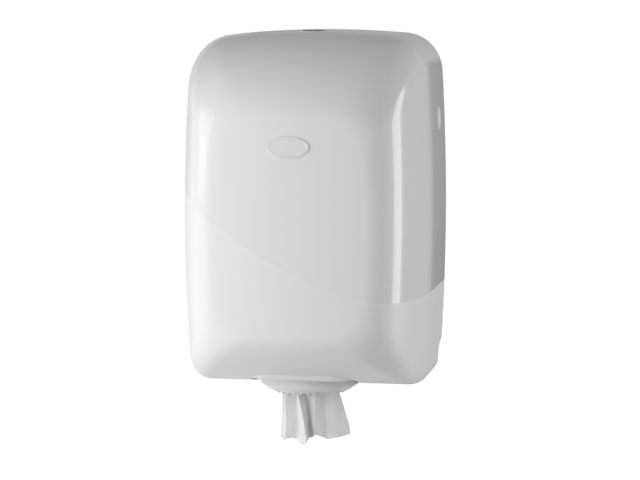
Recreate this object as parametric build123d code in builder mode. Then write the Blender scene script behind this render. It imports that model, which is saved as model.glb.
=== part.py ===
from build123d import *
import math
import os

os.makedirs("parts", exist_ok=True)

# Centrefeed roll dispenser, hung on a wall. Millimetres, +Z up, the wall is the plane Y = 0 and the
# front faces -Y. The origin is the centre of the four wall screws, at half the cover's height.

# Cover, outside
cover_width = 240.0
cover_height = 346.0
cover_depth = 225.0
cover_wall = 2.8
cover_rim_gap = 1.5
cover_draft = 0.67
bottom_draft_share = 0.3
widest_level = 9.2
top_taper = 6.6
bottom_taper = 5.7
top_arch = 6.8
top_corner = 39.5
bottom_corner = 14.4
bottom_corner_front = 36.0

# Rounding of the cover's front: reach across the front, depth behind it, and how square it is
side_round_reach = 46.8
side_round_depth = 137.8
side_round_power = 2.3
top_round_reach = 75.4
top_round_depth = 113.2
top_round_power = 1.73
bottom_round_reach = 62.3
bottom_round_depth = 140.0
bottom_round_power = 1.7
round_steps = 10

# Openings in the cover
outlet_opening_half_width = 52.0
outlet_opening_front_reach = 57.0
outlet_opening_corner = 24.0
outlet_opening_rise = 30.0
outlet_lip_above_bottom = 12.6
notch_depth = 18.0
notch_height = 34.5
notch_slope = 8.0

# Hinge, low at the rear
hinge_off_wall = 27.0
hinge_above_bottom = 20.3
hinge_pin_radius = 2.5
hinge_pin_clearance = 0.1
hinge_pin_head_radius = 4.5
hinge_pin_head_height = 2.0
hinge_pin_bite = 9.0
hinge_hub_radius = 6.5
hinge_ear_side_gap = 28.0
hinge_ear_thickness = 5.0
hinge_ear_gap = 0.6
hinge_ear_root_low = 14.0
hinge_ear_root_high = 46.0

# Back plate and its wall screw holes
plate_thickness = 3.5
plate_side_gap = 2.2
plate_flange_depth = 12.0
plate_flange_thickness = 2.4
plate_flange_foot = 52.0
plate_foot = 6.0
wall_screw_spacing_x = 130.0
wall_screw_spacing_z = 160.0
wall_screw_hole_radius = 3.0
wall_screw_boss_radius = 8.0
wall_screw_boss_height = 1.5

# Paper roll
roll_side_gap = 25.0
roll_front_gap = 20.0
roll_height = 218.0
roll_core_radius = 29.0
roll_rear_gap = 11.5
roll_edge_round = 2.0

# Shelf under the roll
shelf_above_bottom = 48.8
shelf_thickness = 3.0
shelf_seat_width = 35.0
shelf_roll_play = 2.0
shelf_rim_height = 5.0
shelf_rim_thickness = 2.0
shelf_flange_thickness = 3.0
shelf_flange_height = 35.0
shelf_ear_gap = 1.0
shelf_gusset_length = 50.0
shelf_gusset_height = 30.0
shelf_gusset_thickness = 3.0
shelf_gusset_inset = 6.0
running_gap = 0.3

# Funnel under the shelf, with the outlet at its lower end
nozzle_mouth_past_hole = 6.0
nozzle_tip_radius = 41.0
nozzle_skirt_radius = 48.3
nozzle_skirt_height = 9.0
nozzle_skirt_rise = 5.0
nozzle_tip_drop = 2.5
nozzle_wall = 2.4
nozzle_flange_width = 10.0
nozzle_flange_thickness = 2.5
nozzle_collar_thickness = 2.0
nozzle_collar_height = 10.0

# Toothed ring in the outlet
ring_outer_radius = 36.0
ring_bore_radius = 29.0
ring_fit_clearance = 0.1
ring_flange_thickness = 1.5
ring_drop = 3.5
tooth_count = 32
tooth_height = 3.2

# Screws
screw_shank_radius = 1.75
screw_head_radius = 3.5
screw_head_height = 2.2
screw_hole_clearance = 0.1
screw_cross_length = 4.0
screw_cross_width = 0.9
screw_cross_depth = 1.1
plate_screw_length = 6.2
shelf_screw_side_inner = 30.0
shelf_screw_gusset_gap = 9.0
nozzle_screw_length = 5.0
nozzle_screw_past_mouth = 5.5
nozzle_screw_count = 3

# Lock on top of the cover
lock_behind_front = 133.5
lock_pad_radius = 13.5
lock_pad_rise = 0.2
lock_pad_thickness = 4.2
lock_flange_radius = 11.0
lock_flange_height = 0.9
lock_sleeve_radius = 9.5
lock_sleeve_length = 14.0
lock_sleeve_clearance = 0.1
lock_nut_height = 4.5
lock_nut_radius = 14.0
barrel_radius = 6.4
barrel_clearance = 0.1
barrel_head_radius = 8.2
barrel_head_height = 2.0
barrel_end_gap = 0.3
key_slot_length = 7.5
key_slot_width = 1.6
key_slot_depth = 5.0
cam_thickness = 2.5
cam_width = 12.0
cam_reach = 28.0
cam_square = 7.0
cam_square_clearance = 0.1
cam_screw_head_radius = 5.0
cam_screw_head_height = 2.2
cam_screw_shank_radius = 1.7
cam_screw_length = 8.0

# Strike bracket on the back plate
strike_side = 21.0
strike_arm_width = 8.0
strike_arm_root_height = 16.0
strike_arm_tip_height = 10.0
strike_under_cam = 2.0
strike_over_cam = 0.5
strike_gap = 1.5
strike_post_thickness = 6.0
strike_base_half_width = 18.0
strike_base_height = 26.0
strike_base_thickness = 3.0
strike_screw_side = 13.0

# Badge and sight windows
badge_level = 66.7
badge_half_width = 20.0
badge_half_height = 10.2
badge_thickness = 1.6
badge_rim = 1.5
badge_recess = 0.4
window_level = 85.5
window_off_wall = 41.0
window_radius = 11.8
window_flange_radius = 14.5
window_flange_thickness = 1.6
window_clearance = 0.15
window_sunk = 0.5

# Paper tail, gathered into folds
tail_top_above_shelf = 28.0
tail_hang = 56.5
tail_sheet = 1.4
tail_fold_round = 0.9
tail_ring_gap = 0.3
tail_hem_reach = 40.0
tail_hem_rag = 9.5

# Cuts run past the solids by this much
overrun = 2.0

# Levels and places that follow from the sizes above
cover_top = cover_height / 2
cover_bottom = -cover_height / 2
hinge_y = -hinge_off_wall
hinge_z = cover_bottom + hinge_above_bottom
shelf_top = cover_bottom + shelf_above_bottom
shelf_bottom = shelf_top - shelf_thickness
hinge_ear_inner = cover_width / 2 - hinge_ear_side_gap
roll_room_across = cover_width / 2 - roll_side_gap
roll_room_deep = (cover_depth - roll_front_gap - roll_rear_gap - plate_thickness) / 2
roll_radius = min(roll_room_across, roll_room_deep)
roll_y = -(plate_thickness + roll_rear_gap + roll_radius)
outlet_opening_front = outlet_opening_front_reach - roll_y
shelf_hole_radius = roll_radius - shelf_seat_width
shelf_rear_half_width = hinge_ear_inner - shelf_ear_gap
shelf_gusset_side = shelf_rear_half_width - shelf_gusset_inset
shelf_screw_side_outer = shelf_gusset_side - shelf_screw_gusset_gap
nozzle_mouth_radius = shelf_hole_radius + nozzle_mouth_past_hole
nozzle_flange_radius = nozzle_mouth_radius + nozzle_flange_width
nozzle_screw_circle = nozzle_mouth_radius + nozzle_screw_past_mouth
roll_bottom = shelf_top + running_gap
nozzle_tip = cover_bottom - nozzle_tip_drop
nozzle_flange_bottom = shelf_bottom - nozzle_flange_thickness
lock_off_wall = cover_depth - lock_behind_front
draft_slope = math.tan(math.radians(cover_draft))


def round_share(behind, depth, power):
    """Share of its reach that a rounding draws an edge in, at a distance behind the front plane."""
    share = max(0.0, 1 - behind / depth)
    return 1 - (1 - share**power) ** (1 / power)


def top_level(off_wall, inset):
    """Height of the skin's top, in the middle, at a distance from the wall."""
    behind = cover_depth - inset - off_wall
    share = round_share(behind, top_round_depth - inset, top_round_power)
    drawn_in = (top_round_reach - inset) * share
    return cover_top - inset - draft_slope * off_wall - drawn_in


def bottom_level(off_wall, inset):
    """Height of the skin's bottom at a distance from the wall."""
    behind = cover_depth - inset - off_wall
    share = round_share(behind, bottom_round_depth - inset, bottom_round_power)
    drawn_in = (bottom_round_reach - inset) * share
    return cover_bottom + inset + bottom_draft_share * draft_slope * off_wall + drawn_in


def half_width(off_wall, inset):
    """Half the width of the skin at its widest level, at a distance from the wall."""
    behind = cover_depth - inset - off_wall
    share = round_share(behind, side_round_depth - inset, side_round_power)
    drawn_in = (side_round_reach - inset) * share
    return cover_width / 2 - inset - draft_slope * off_wall - drawn_in


def skin_outline(off_wall, inset):
    """Front-view face inside the cover's skin, inset from its outside, at a distance from the wall."""
    top = top_level(off_wall, inset)
    bottom = bottom_level(off_wall, inset)
    side = half_width(off_wall, inset)
    shoulder = top - top_arch
    behind = cover_depth - inset - off_wall
    corner_share = round_share(behind, bottom_round_depth - inset, bottom_round_power)
    low_corner = bottom_corner + (bottom_corner_front - bottom_corner) * corner_share
    with BuildSketch() as outline:
        with BuildLine():
            ThreePointArc((-side + top_taper, shoulder), (0, top), (side - top_taper, shoulder))
            ThreePointArc((side - top_taper, shoulder), (side, widest_level), (side - bottom_taper, bottom))
            Line((side - bottom_taper, bottom), (-side + bottom_taper, bottom))
            ThreePointArc((-side + bottom_taper, bottom), (-side, widest_level), (-side + top_taper, shoulder))
        make_face()
        fillet(outline.vertices().group_by(Axis.Y)[-1], top_corner - inset)
        fillet(outline.vertices().group_by(Axis.Y)[0], low_corner - inset)
    return outline.sketch


def skin_solid(inset, rear):
    """Solid inside the cover's skin, inset from its outside, open end at a distance from the wall."""
    front = cover_depth - inset
    deepest = bottom_round_depth - inset
    angles = [math.pi / 2 * step / round_steps for step in range(round_steps + 1)]
    stations = [front - deepest * (1 - math.cos(angle)) for angle in angles]
    outlines = [skin_outline(station, inset) for station in stations]
    rear_outline = skin_outline(rear, inset)
    with BuildPart() as body:
        for station, outline in zip(stations, outlines):
            with BuildSketch(Plane.XZ.offset(station)):
                add(outline)
        loft()
        with BuildSketch(Plane.XZ.offset(stations[-1])):
            add(outlines[-1])
        with BuildSketch(Plane.XZ.offset(rear)):
            add(rear_outline)
        loft(ruled=True)
    return body.part


def save(piece, name):
    """Labels a finished piece and writes its STEP file."""
    piece.part.label = name
    export_step(piece.part, f"parts/{name}.step")


outer_skin = skin_solid(0.0, cover_rim_gap)
inner_skin = skin_solid(cover_wall, cover_rim_gap - overrun)

# Lock levels
lock_seat = top_level(lock_off_wall, 0.0) + lock_pad_rise
lock_pad_bottom = lock_seat - lock_pad_thickness
lock_top = lock_seat + lock_flange_height
sleeve_bottom = lock_seat - lock_sleeve_length
barrel_bottom = sleeve_bottom - barrel_end_gap
cam_bottom = barrel_bottom - cam_thickness
ear_outer = hinge_ear_inner + hinge_ear_thickness
boss_inner = ear_outer + hinge_ear_gap
pin_end = boss_inner + hinge_pin_bite

# Hinge bosses inside the cover's side walls
with BuildPart() as hinge_bosses:
    for side in (1, -1):
        with BuildSketch(Plane.YZ.offset(side * boss_inner)):
            with Locations((hinge_y, hinge_z)):
                Circle(hinge_hub_radius)
        extrude(amount=side * (cover_width / 2 - boss_inner))
    add(outer_skin, mode=Mode.INTERSECT)

# Opening in the bottom for the outlet, open towards the wall
with BuildSketch() as outlet_opening:
    with BuildLine():
        Polyline(
            (-outlet_opening_half_width, overrun),
            (-outlet_opening_half_width, -outlet_opening_front),
            (outlet_opening_half_width, -outlet_opening_front),
            (outlet_opening_half_width, overrun),
            close=True,
        )
    make_face()
    fillet(outlet_opening.vertices().group_by(Axis.Y)[0], outlet_opening_corner)

# Lip that carries the cover's bottom line on in front of the opening
with BuildPart() as outlet_lip:
    with BuildSketch(Plane.XY.offset(cover_bottom + outlet_lip_above_bottom)):
        add(outlet_opening.sketch)
        offset(amount=cover_wall)
        with Locations((0, overrun + cover_wall)):
            Rectangle(
                cover_width,
                2 * (outlet_opening_front - outlet_opening_corner),
                mode=Mode.SUBTRACT,
            )
    extrude(amount=outlet_opening_rise)
    add(inner_skin, mode=Mode.SUBTRACT)

with BuildPart() as cover_shell:
    add(outer_skin)
    add(inner_skin, mode=Mode.SUBTRACT)
    add(hinge_bosses.part)
    add(outlet_lip.part)
    # Flat pad for the lock, and its hole
    with BuildSketch(Plane.XY.offset(lock_pad_bottom)):
        with Locations((0, -lock_off_wall)):
            Circle(lock_pad_radius)
    extrude(amount=lock_pad_thickness)
    with BuildSketch(Plane.XY.offset(lock_pad_bottom - overrun)):
        with Locations((0, -lock_off_wall)):
            Circle(lock_sleeve_radius + lock_sleeve_clearance)
    extrude(amount=lock_pad_thickness + 2 * overrun, mode=Mode.SUBTRACT)
    # Lower rear corners cut back, so that the cover clears the wall as it swings
    notch_y = -(cover_rim_gap + notch_depth)
    with BuildSketch(Plane.YZ):
        with BuildLine():
            Polyline(
                (overrun, cover_bottom - overrun),
                (notch_y, cover_bottom - overrun),
                (notch_y, cover_bottom + notch_height - notch_slope),
                (-cover_rim_gap, cover_bottom + notch_height),
                (overrun, cover_bottom + notch_height),
                close=True,
            )
        make_face()
    extrude(amount=cover_width / 2, both=True, mode=Mode.SUBTRACT)
    with BuildSketch(Plane.XY.offset(cover_bottom - overrun)):
        add(outlet_opening.sketch)
    extrude(amount=outlet_opening_rise + overrun, mode=Mode.SUBTRACT)
    # Round holes for the sight windows
    with BuildSketch(Plane.YZ):
        with Locations((-window_off_wall, window_level)):
            Circle(window_radius + window_clearance)
    extrude(amount=cover_width / 2, both=True, mode=Mode.SUBTRACT)
    # Blind holes for the hinge pins
    for side in (1, -1):
        with BuildSketch(Plane.YZ.offset(side * (boss_inner - overrun))):
            with Locations((hinge_y, hinge_z)):
                Circle(hinge_pin_radius + hinge_pin_clearance)
        extrude(amount=side * (hinge_pin_bite + hinge_ear_gap + overrun), mode=Mode.SUBTRACT)
save(cover_shell, "cover_shell")

# Oval badge with a raised rim, otherwise bare
with BuildPart() as badge:
    with BuildSketch(Plane.XZ.offset(cover_depth)):
        with Locations((0, badge_level)):
            Ellipse(badge_half_width, badge_half_height)
    extrude(amount=badge_thickness)
    with BuildSketch(Plane.XZ.offset(cover_depth + badge_thickness)):
        with Locations((0, badge_level)):
            Ellipse(badge_half_width - badge_rim, badge_half_height - badge_rim)
    extrude(amount=-badge_recess, mode=Mode.SUBTRACT)
save(badge, "badge")

# Sight windows: a plug in the side wall with a flange behind it, both following the wall's curve
plug_skin = skin_solid(window_sunk, cover_rim_gap)
flange_skin = skin_solid(cover_wall + window_clearance, cover_rim_gap)
behind_window_skin = skin_solid(cover_wall + window_clearance + window_flange_thickness, cover_rim_gap)
for side, window_name in ((1, "window_right"), (-1, "window_left")):
    with BuildPart() as window_flange:
        with BuildSketch(Plane.YZ):
            with Locations((-window_off_wall, window_level)):
                Circle(window_flange_radius)
        extrude(amount=side * cover_width / 2)
        add(flange_skin, mode=Mode.INTERSECT)
    with BuildPart() as window:
        with BuildSketch(Plane.YZ):
            with Locations((-window_off_wall, window_level)):
                Circle(window_radius)
        extrude(amount=side * cover_width / 2)
        add(plug_skin, mode=Mode.INTERSECT)
        add(window_flange.part)
        add(behind_window_skin, mode=Mode.SUBTRACT)
    save(window, window_name)

# Lock: housing with flange and sleeve, nut, barrel, cam and cam screw
with BuildPart() as lock_housing:
    with BuildSketch(Plane.XY.offset(sleeve_bottom)):
        with Locations((0, -lock_off_wall)):
            Circle(lock_sleeve_radius)
    extrude(amount=lock_sleeve_length)
    with BuildSketch(Plane.XY.offset(lock_seat)):
        with Locations((0, -lock_off_wall)):
            Circle(lock_flange_radius)
    extrude(amount=lock_flange_height)
    with BuildSketch(Plane.XY.offset(sleeve_bottom - overrun)):
        with Locations((0, -lock_off_wall)):
            Circle(barrel_radius + barrel_clearance)
    extrude(amount=lock_sleeve_length + lock_flange_height + 2 * overrun, mode=Mode.SUBTRACT)
    with BuildSketch(Plane.XY.offset(lock_top + overrun)):
        with Locations((0, -lock_off_wall)):
            Circle(barrel_head_radius + barrel_clearance)
    extrude(amount=-(barrel_head_height + overrun), mode=Mode.SUBTRACT)
save(lock_housing, "lock_housing")

with BuildPart() as lock_nut:
    with BuildSketch(Plane.XY.offset(lock_pad_bottom)):
        with Locations((0, -lock_off_wall)):
            RegularPolygon(lock_nut_radius, 6)
            Circle(lock_sleeve_radius + lock_sleeve_clearance, mode=Mode.SUBTRACT)
    extrude(amount=-lock_nut_height)
save(lock_nut, "lock_nut")

with BuildPart() as lock_barrel:
    with BuildSketch(Plane.XY.offset(barrel_bottom)):
        with Locations((0, -lock_off_wall)):
            Circle(barrel_radius)
    extrude(amount=lock_top - barrel_bottom)
    with BuildSketch(Plane.XY.offset(lock_top)):
        with Locations((0, -lock_off_wall)):
            Circle(barrel_head_radius)
    extrude(amount=-barrel_head_height)
    with BuildSketch(Plane.XY.offset(barrel_bottom)):
        with Locations((0, -lock_off_wall)):
            Rectangle(cam_square, cam_square)
    extrude(amount=-cam_thickness)
    with BuildSketch(Plane.XY.offset(lock_top)):
        with Locations((0, -lock_off_wall)):
            Rectangle(key_slot_length, key_slot_width)
    extrude(amount=-key_slot_depth, mode=Mode.SUBTRACT)
    with BuildSketch(Plane.XY.offset(cam_bottom)):
        with Locations((0, -lock_off_wall)):
            Circle(cam_screw_shank_radius + screw_hole_clearance)
    extrude(amount=cam_screw_length, mode=Mode.SUBTRACT)
save(lock_barrel, "lock_barrel")

# The cam points to the wall when the lock is open, and turns a quarter to the right to lock
with BuildPart() as lock_cam:
    with BuildSketch(Plane.XY.offset(cam_bottom)):
        with Locations((0, -lock_off_wall)):
            Circle(cam_width / 2)
        with Locations((0, -lock_off_wall + (cam_reach - cam_width / 2) / 2)):
            Rectangle(cam_width, cam_reach - cam_width / 2)
        with Locations((0, -lock_off_wall + cam_reach - cam_width / 2)):
            Circle(cam_width / 2)
        with Locations((0, -lock_off_wall)):
            Rectangle(
                cam_square + 2 * cam_square_clearance,
                cam_square + 2 * cam_square_clearance,
                mode=Mode.SUBTRACT,
            )
    extrude(amount=cam_thickness)
save(lock_cam, "lock_cam")

with BuildPart() as cam_screw:
    with BuildSketch(Plane.XY.offset(cam_bottom)):
        with Locations((0, -lock_off_wall)):
            Circle(cam_screw_head_radius)
    extrude(amount=-cam_screw_head_height)
    with BuildSketch(Plane.XY.offset(cam_bottom)):
        with Locations((0, -lock_off_wall)):
            Circle(cam_screw_shank_radius)
    extrude(amount=cam_screw_length - overrun)
    with BuildSketch(Plane.XY.offset(cam_bottom - cam_screw_head_height)):
        with Locations((0, -lock_off_wall)):
            Rectangle(screw_cross_length, screw_cross_width)
            Rectangle(screw_cross_width, screw_cross_length)
    extrude(amount=screw_cross_depth, mode=Mode.SUBTRACT)
save(cam_screw, "cam_screw")

# Places of the screws that go into the back plate, seen from the front
shelf_screw_level = shelf_top + shelf_flange_height - 2 * screw_head_radius
shelf_screw_places = [
    (side * spread, shelf_screw_level)
    for side in (1, -1)
    for spread in (shelf_screw_side_inner, shelf_screw_side_outer)
]
cam_level = cam_bottom - strike_under_cam
strike_base_top = cam_level
strike_base_bottom = strike_base_top - strike_base_height
strike_screw_places = [
    (strike_side + side * strike_screw_side, (strike_base_top + strike_base_bottom) / 2) for side in (1, -1)
]
wall_screw_places = [
    (side * wall_screw_spacing_x / 2, row * wall_screw_spacing_z / 2) for side in (1, -1) for row in (1, -1)
]
screw_hole_radius = screw_shank_radius + screw_hole_clearance

# Back plate: plate, rim flange, screw bosses and hinge ears
plate_inset = cover_wall + plate_side_gap
plate_outline = skin_outline(0.0, plate_inset)
flange_inner_outline = skin_outline(0.0, plate_inset + plate_flange_thickness)
plate_bottom = cover_bottom + plate_foot
with BuildPart() as back_plate:
    with BuildSketch(Plane.XZ.offset(plate_thickness)):
        add(plate_outline)
        add(flange_inner_outline, mode=Mode.SUBTRACT)
    extrude(amount=plate_flange_depth - plate_thickness)
    with BuildSketch(Plane.XY.offset(cover_bottom)):
        with Locations((0, -plate_flange_depth / 2)):
            Rectangle(cover_width, plate_flange_depth + overrun)
    extrude(amount=plate_flange_foot, mode=Mode.SUBTRACT)
    with BuildSketch(Plane.XZ):
        add(plate_outline)
    extrude(amount=plate_thickness)
    with BuildSketch(Plane.XY.offset(plate_bottom)):
        with Locations((0, -plate_thickness / 2)):
            Rectangle(cover_width, plate_thickness + 2 * overrun)
    extrude(amount=-(plate_foot + overrun), mode=Mode.SUBTRACT)
    with BuildSketch(Plane.XZ.offset(plate_thickness)):
        with Locations(*wall_screw_places):
            Circle(wall_screw_boss_radius)
    extrude(amount=wall_screw_boss_height)
    for side in (1, -1):
        ear_plane = Plane.YZ.offset(side * hinge_ear_inner)
        with BuildSketch(ear_plane):
            with BuildLine():
                Polyline(
                    (-plate_thickness, hinge_z + hinge_ear_root_low),
                    (-plate_thickness, hinge_z + hinge_ear_root_high),
                    (hinge_y - hinge_hub_radius, hinge_z),
                    (hinge_y, hinge_z - hinge_hub_radius),
                    (hinge_y + hinge_hub_radius / 2, hinge_z - hinge_hub_radius / 2),
                    close=True,
                )
            make_face()
            with Locations((hinge_y, hinge_z)):
                Circle(hinge_hub_radius)
        extrude(amount=side * hinge_ear_thickness)
        with BuildSketch(Plane.YZ.offset(side * (hinge_ear_inner - overrun))):
            with Locations((hinge_y, hinge_z)):
                Circle(hinge_pin_radius + hinge_pin_clearance)
        extrude(amount=side * (hinge_ear_thickness + 2 * overrun), mode=Mode.SUBTRACT)
    with BuildSketch(Plane.XZ.offset(-overrun)):
        with Locations(*wall_screw_places):
            Circle(wall_screw_hole_radius)
        with Locations(*shelf_screw_places, *strike_screw_places):
            Circle(screw_hole_radius)
    extrude(amount=plate_thickness + wall_screw_boss_height + 2 * overrun, mode=Mode.SUBTRACT)
save(back_plate, "back_plate")

# Hinge pins, headed on the inner side of the ears
for side, pin_name in ((1, "hinge_pin_right"), (-1, "hinge_pin_left")):
    with BuildPart() as hinge_pin:
        with BuildSketch(Plane.YZ.offset(side * hinge_ear_inner)):
            with Locations((hinge_y, hinge_z)):
                Circle(hinge_pin_head_radius)
        extrude(amount=-side * hinge_pin_head_height)
        with BuildSketch(Plane.YZ.offset(side * hinge_ear_inner)):
            with Locations((hinge_y, hinge_z)):
                Circle(hinge_pin_radius)
        extrude(amount=side * (pin_end - hinge_ear_inner))
    save(hinge_pin, pin_name)

# Shelf that carries the roll
shelf_radius = roll_radius + shelf_roll_play + shelf_rim_thickness
shelf_rear = -plate_thickness
with BuildPart() as roll_shelf:
    with BuildSketch(Plane.XY.offset(shelf_bottom)) as shelf_floor:
        with Locations((0, roll_y)):
            Circle(shelf_radius)
        with Locations((0, (roll_y + shelf_rear) / 2)):
            Rectangle(2 * shelf_rear_half_width, shelf_rear - roll_y)
    extrude(amount=shelf_thickness)
    with BuildSketch(Plane.XY.offset(shelf_top)):
        add(shelf_floor.sketch_local)
        offset(amount=-shelf_rim_thickness, mode=Mode.SUBTRACT)
    extrude(amount=shelf_rim_height)
    with BuildSketch(Plane.XZ.offset(plate_thickness)):
        with Locations((0, shelf_bottom + (shelf_flange_height + shelf_thickness) / 2)):
            Rectangle(2 * shelf_rear_half_width, shelf_flange_height + shelf_thickness)
    extrude(amount=shelf_flange_thickness)
    for side in (1, -1):
        flange_front = -(plate_thickness + shelf_flange_thickness)
        with BuildSketch(Plane.YZ.offset(side * shelf_gusset_side)):
            with BuildLine():
                Polyline(
                    (flange_front, shelf_top),
                    (flange_front, shelf_top + shelf_gusset_height),
                    (flange_front - shelf_gusset_length, shelf_top),
                    close=True,
                )
            make_face()
        extrude(amount=side * shelf_gusset_thickness)
    with BuildSketch(Plane.XY.offset(shelf_bottom - overrun)):
        with Locations((0, roll_y)):
            Circle(shelf_hole_radius)
            with PolarLocations(nozzle_screw_circle, nozzle_screw_count, start_angle=-90):
                Circle(screw_hole_radius)
    extrude(amount=shelf_thickness + overrun, mode=Mode.SUBTRACT)
    with BuildSketch(Plane.XZ):
        with Locations(*shelf_screw_places):
            Circle(screw_hole_radius)
    extrude(amount=plate_thickness + shelf_flange_thickness + overrun, mode=Mode.SUBTRACT)
save(roll_shelf, "roll_shelf")


def plate_screws(places, head_seat):
    """Pan head screws driven towards the wall, one solid each."""
    with BuildPart() as screws:
        with BuildSketch(Plane.XZ.offset(head_seat)):
            with Locations(*places):
                Circle(screw_head_radius)
        extrude(amount=screw_head_height)
        with BuildSketch(Plane.XZ.offset(head_seat)):
            with Locations(*places):
                Circle(screw_shank_radius)
        extrude(amount=-plate_screw_length)
        with BuildSketch(Plane.XZ.offset(head_seat + screw_head_height)):
            with Locations(*places):
                Rectangle(screw_cross_length, screw_cross_width)
                Rectangle(screw_cross_width, screw_cross_length)
        extrude(amount=-screw_cross_depth, mode=Mode.SUBTRACT)
    return screws


save(plate_screws(shelf_screw_places, plate_thickness + shelf_flange_thickness), "shelf_screws")
save(plate_screws(strike_screw_places, plate_thickness + strike_base_thickness), "strike_screws")

# Strike bracket: base on the back plate, arm to the lock, post that holds the cam
strike_post_rear = -(lock_off_wall + cam_width / 2 + strike_gap)
strike_front = strike_post_rear - strike_post_thickness
strike_base_front = -(plate_thickness + strike_base_thickness)
with BuildPart() as strike_bracket:
    with BuildSketch(Plane.XZ.offset(plate_thickness)):
        with Locations((strike_side, (strike_base_top + strike_base_bottom) / 2)):
            Rectangle(2 * strike_base_half_width, strike_base_height)
        with Locations(*strike_screw_places):
            Circle(screw_hole_radius, mode=Mode.SUBTRACT)
    extrude(amount=strike_base_thickness)
    with BuildSketch(Plane.YZ.offset(strike_side)):
        with BuildLine():
            Polyline(
                (strike_base_front, strike_base_top - strike_arm_root_height),
                (strike_base_front, strike_base_top),
                (strike_post_rear, strike_base_top),
                (strike_post_rear, cam_bottom + cam_thickness + strike_over_cam),
                (strike_front, cam_bottom + cam_thickness + strike_over_cam),
                (strike_front, strike_base_top - strike_arm_tip_height),
                close=True,
            )
        make_face()
    extrude(amount=strike_arm_width / 2, both=True)
save(strike_bracket, "strike_bracket")

# Funnel with flange, cone and the collar that holds the toothed ring
skirt_bottom = nozzle_tip + nozzle_skirt_rise
skirt_top = skirt_bottom + nozzle_skirt_height
low_slope = (nozzle_skirt_radius - nozzle_tip_radius) / nozzle_skirt_rise
high_slope = (nozzle_mouth_radius - nozzle_skirt_radius) / (nozzle_flange_bottom - skirt_top)
low_wall_across = nozzle_wall * math.sqrt(1 + low_slope**2)
high_wall_across = nozzle_wall * math.sqrt(1 + high_slope**2)
skirt_bore = nozzle_skirt_radius - nozzle_wall
skirt_bore_top = skirt_top + (high_wall_across - nozzle_wall) / high_slope
skirt_bore_bottom = skirt_bottom + (low_wall_across - nozzle_wall) / low_slope
collar_bore = ring_outer_radius + ring_fit_clearance
collar_outer = collar_bore + nozzle_collar_thickness
collar_top = nozzle_tip + nozzle_collar_height
collar_meets_cone = nozzle_tip + (collar_outer + low_wall_across - nozzle_tip_radius) / low_slope
with BuildPart() as nozzle_cone:
    with BuildSketch(Plane.XZ.offset(-roll_y)):
        with BuildLine():
            Polyline(
                (collar_bore, nozzle_tip),
                (nozzle_tip_radius, nozzle_tip),
                (nozzle_skirt_radius, skirt_bottom),
                (nozzle_skirt_radius, skirt_top),
                (nozzle_mouth_radius, nozzle_flange_bottom),
                (nozzle_flange_radius, nozzle_flange_bottom),
                (nozzle_flange_radius, shelf_bottom),
                (nozzle_mouth_radius - high_wall_across, shelf_bottom),
                (nozzle_mouth_radius - high_wall_across, nozzle_flange_bottom),
                (skirt_bore, skirt_bore_top),
                (skirt_bore, skirt_bore_bottom),
                (collar_outer, collar_meets_cone),
                (collar_outer, collar_top),
                (collar_bore, collar_top),
                close=True,
            )
        make_face()
    revolve(axis=Axis((0, roll_y, 0), (0, 0, 1)))
    with BuildSketch(Plane.XY.offset(nozzle_flange_bottom - overrun)):
        with Locations((0, roll_y)):
            with PolarLocations(nozzle_screw_circle, nozzle_screw_count, start_angle=-90):
                Circle(screw_hole_radius)
    extrude(amount=nozzle_flange_thickness + 2 * overrun, mode=Mode.SUBTRACT)
save(nozzle_cone, "nozzle_cone")

with BuildPart() as nozzle_screws:
    with BuildSketch(Plane.XY.offset(nozzle_flange_bottom)):
        with Locations((0, roll_y)):
            with PolarLocations(nozzle_screw_circle, nozzle_screw_count, start_angle=-90):
                Circle(screw_head_radius)
    extrude(amount=-screw_head_height)
    with BuildSketch(Plane.XY.offset(nozzle_flange_bottom)):
        with Locations((0, roll_y)):
            with PolarLocations(nozzle_screw_circle, nozzle_screw_count, start_angle=-90):
                Circle(screw_shank_radius)
    extrude(amount=nozzle_screw_length)
    with BuildSketch(Plane.XY.offset(nozzle_flange_bottom - screw_head_height)):
        with Locations((0, roll_y)):
            with PolarLocations(nozzle_screw_circle, nozzle_screw_count, start_angle=-90):
                Rectangle(screw_cross_length, screw_cross_width)
                Rectangle(screw_cross_width, screw_cross_length)
    extrude(amount=screw_cross_depth, mode=Mode.SUBTRACT)
save(nozzle_screws, "nozzle_screws")

# Toothed ring: sleeve in the collar, flange on the collar, teeth below the outlet
ring_bottom = nozzle_tip - ring_drop
tooth_width = 2 * math.pi * ring_outer_radius / tooth_count
with BuildPart() as tear_ring:
    with BuildSketch(Plane.XZ.offset(-roll_y)):
        with BuildLine():
            Polyline(
                (ring_bore_radius, ring_bottom),
                (ring_outer_radius, ring_bottom),
                (ring_outer_radius, collar_top),
                (collar_outer, collar_top),
                (collar_outer, collar_top + ring_flange_thickness),
                (ring_bore_radius, collar_top + ring_flange_thickness),
                close=True,
            )
        make_face()
    revolve(axis=Axis((0, roll_y, 0), (0, 0, 1)))
    for tooth in range(tooth_count):
        turn = 360 * tooth / tooth_count
        across = Vector(1, 0, 0).rotate(Axis.Z, turn)
        outward = Vector(0, -1, 0).rotate(Axis.Z, turn)
        with BuildSketch(Plane(origin=(0, roll_y, ring_bottom), x_dir=across, z_dir=outward)):
            with BuildLine():
                Polyline((-tooth_width / 2, 0), (0, tooth_height), (tooth_width / 2, 0), close=True)
            make_face()
        extrude(amount=ring_outer_radius + overrun, mode=Mode.SUBTRACT)
save(tear_ring, "tear_ring")

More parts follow.
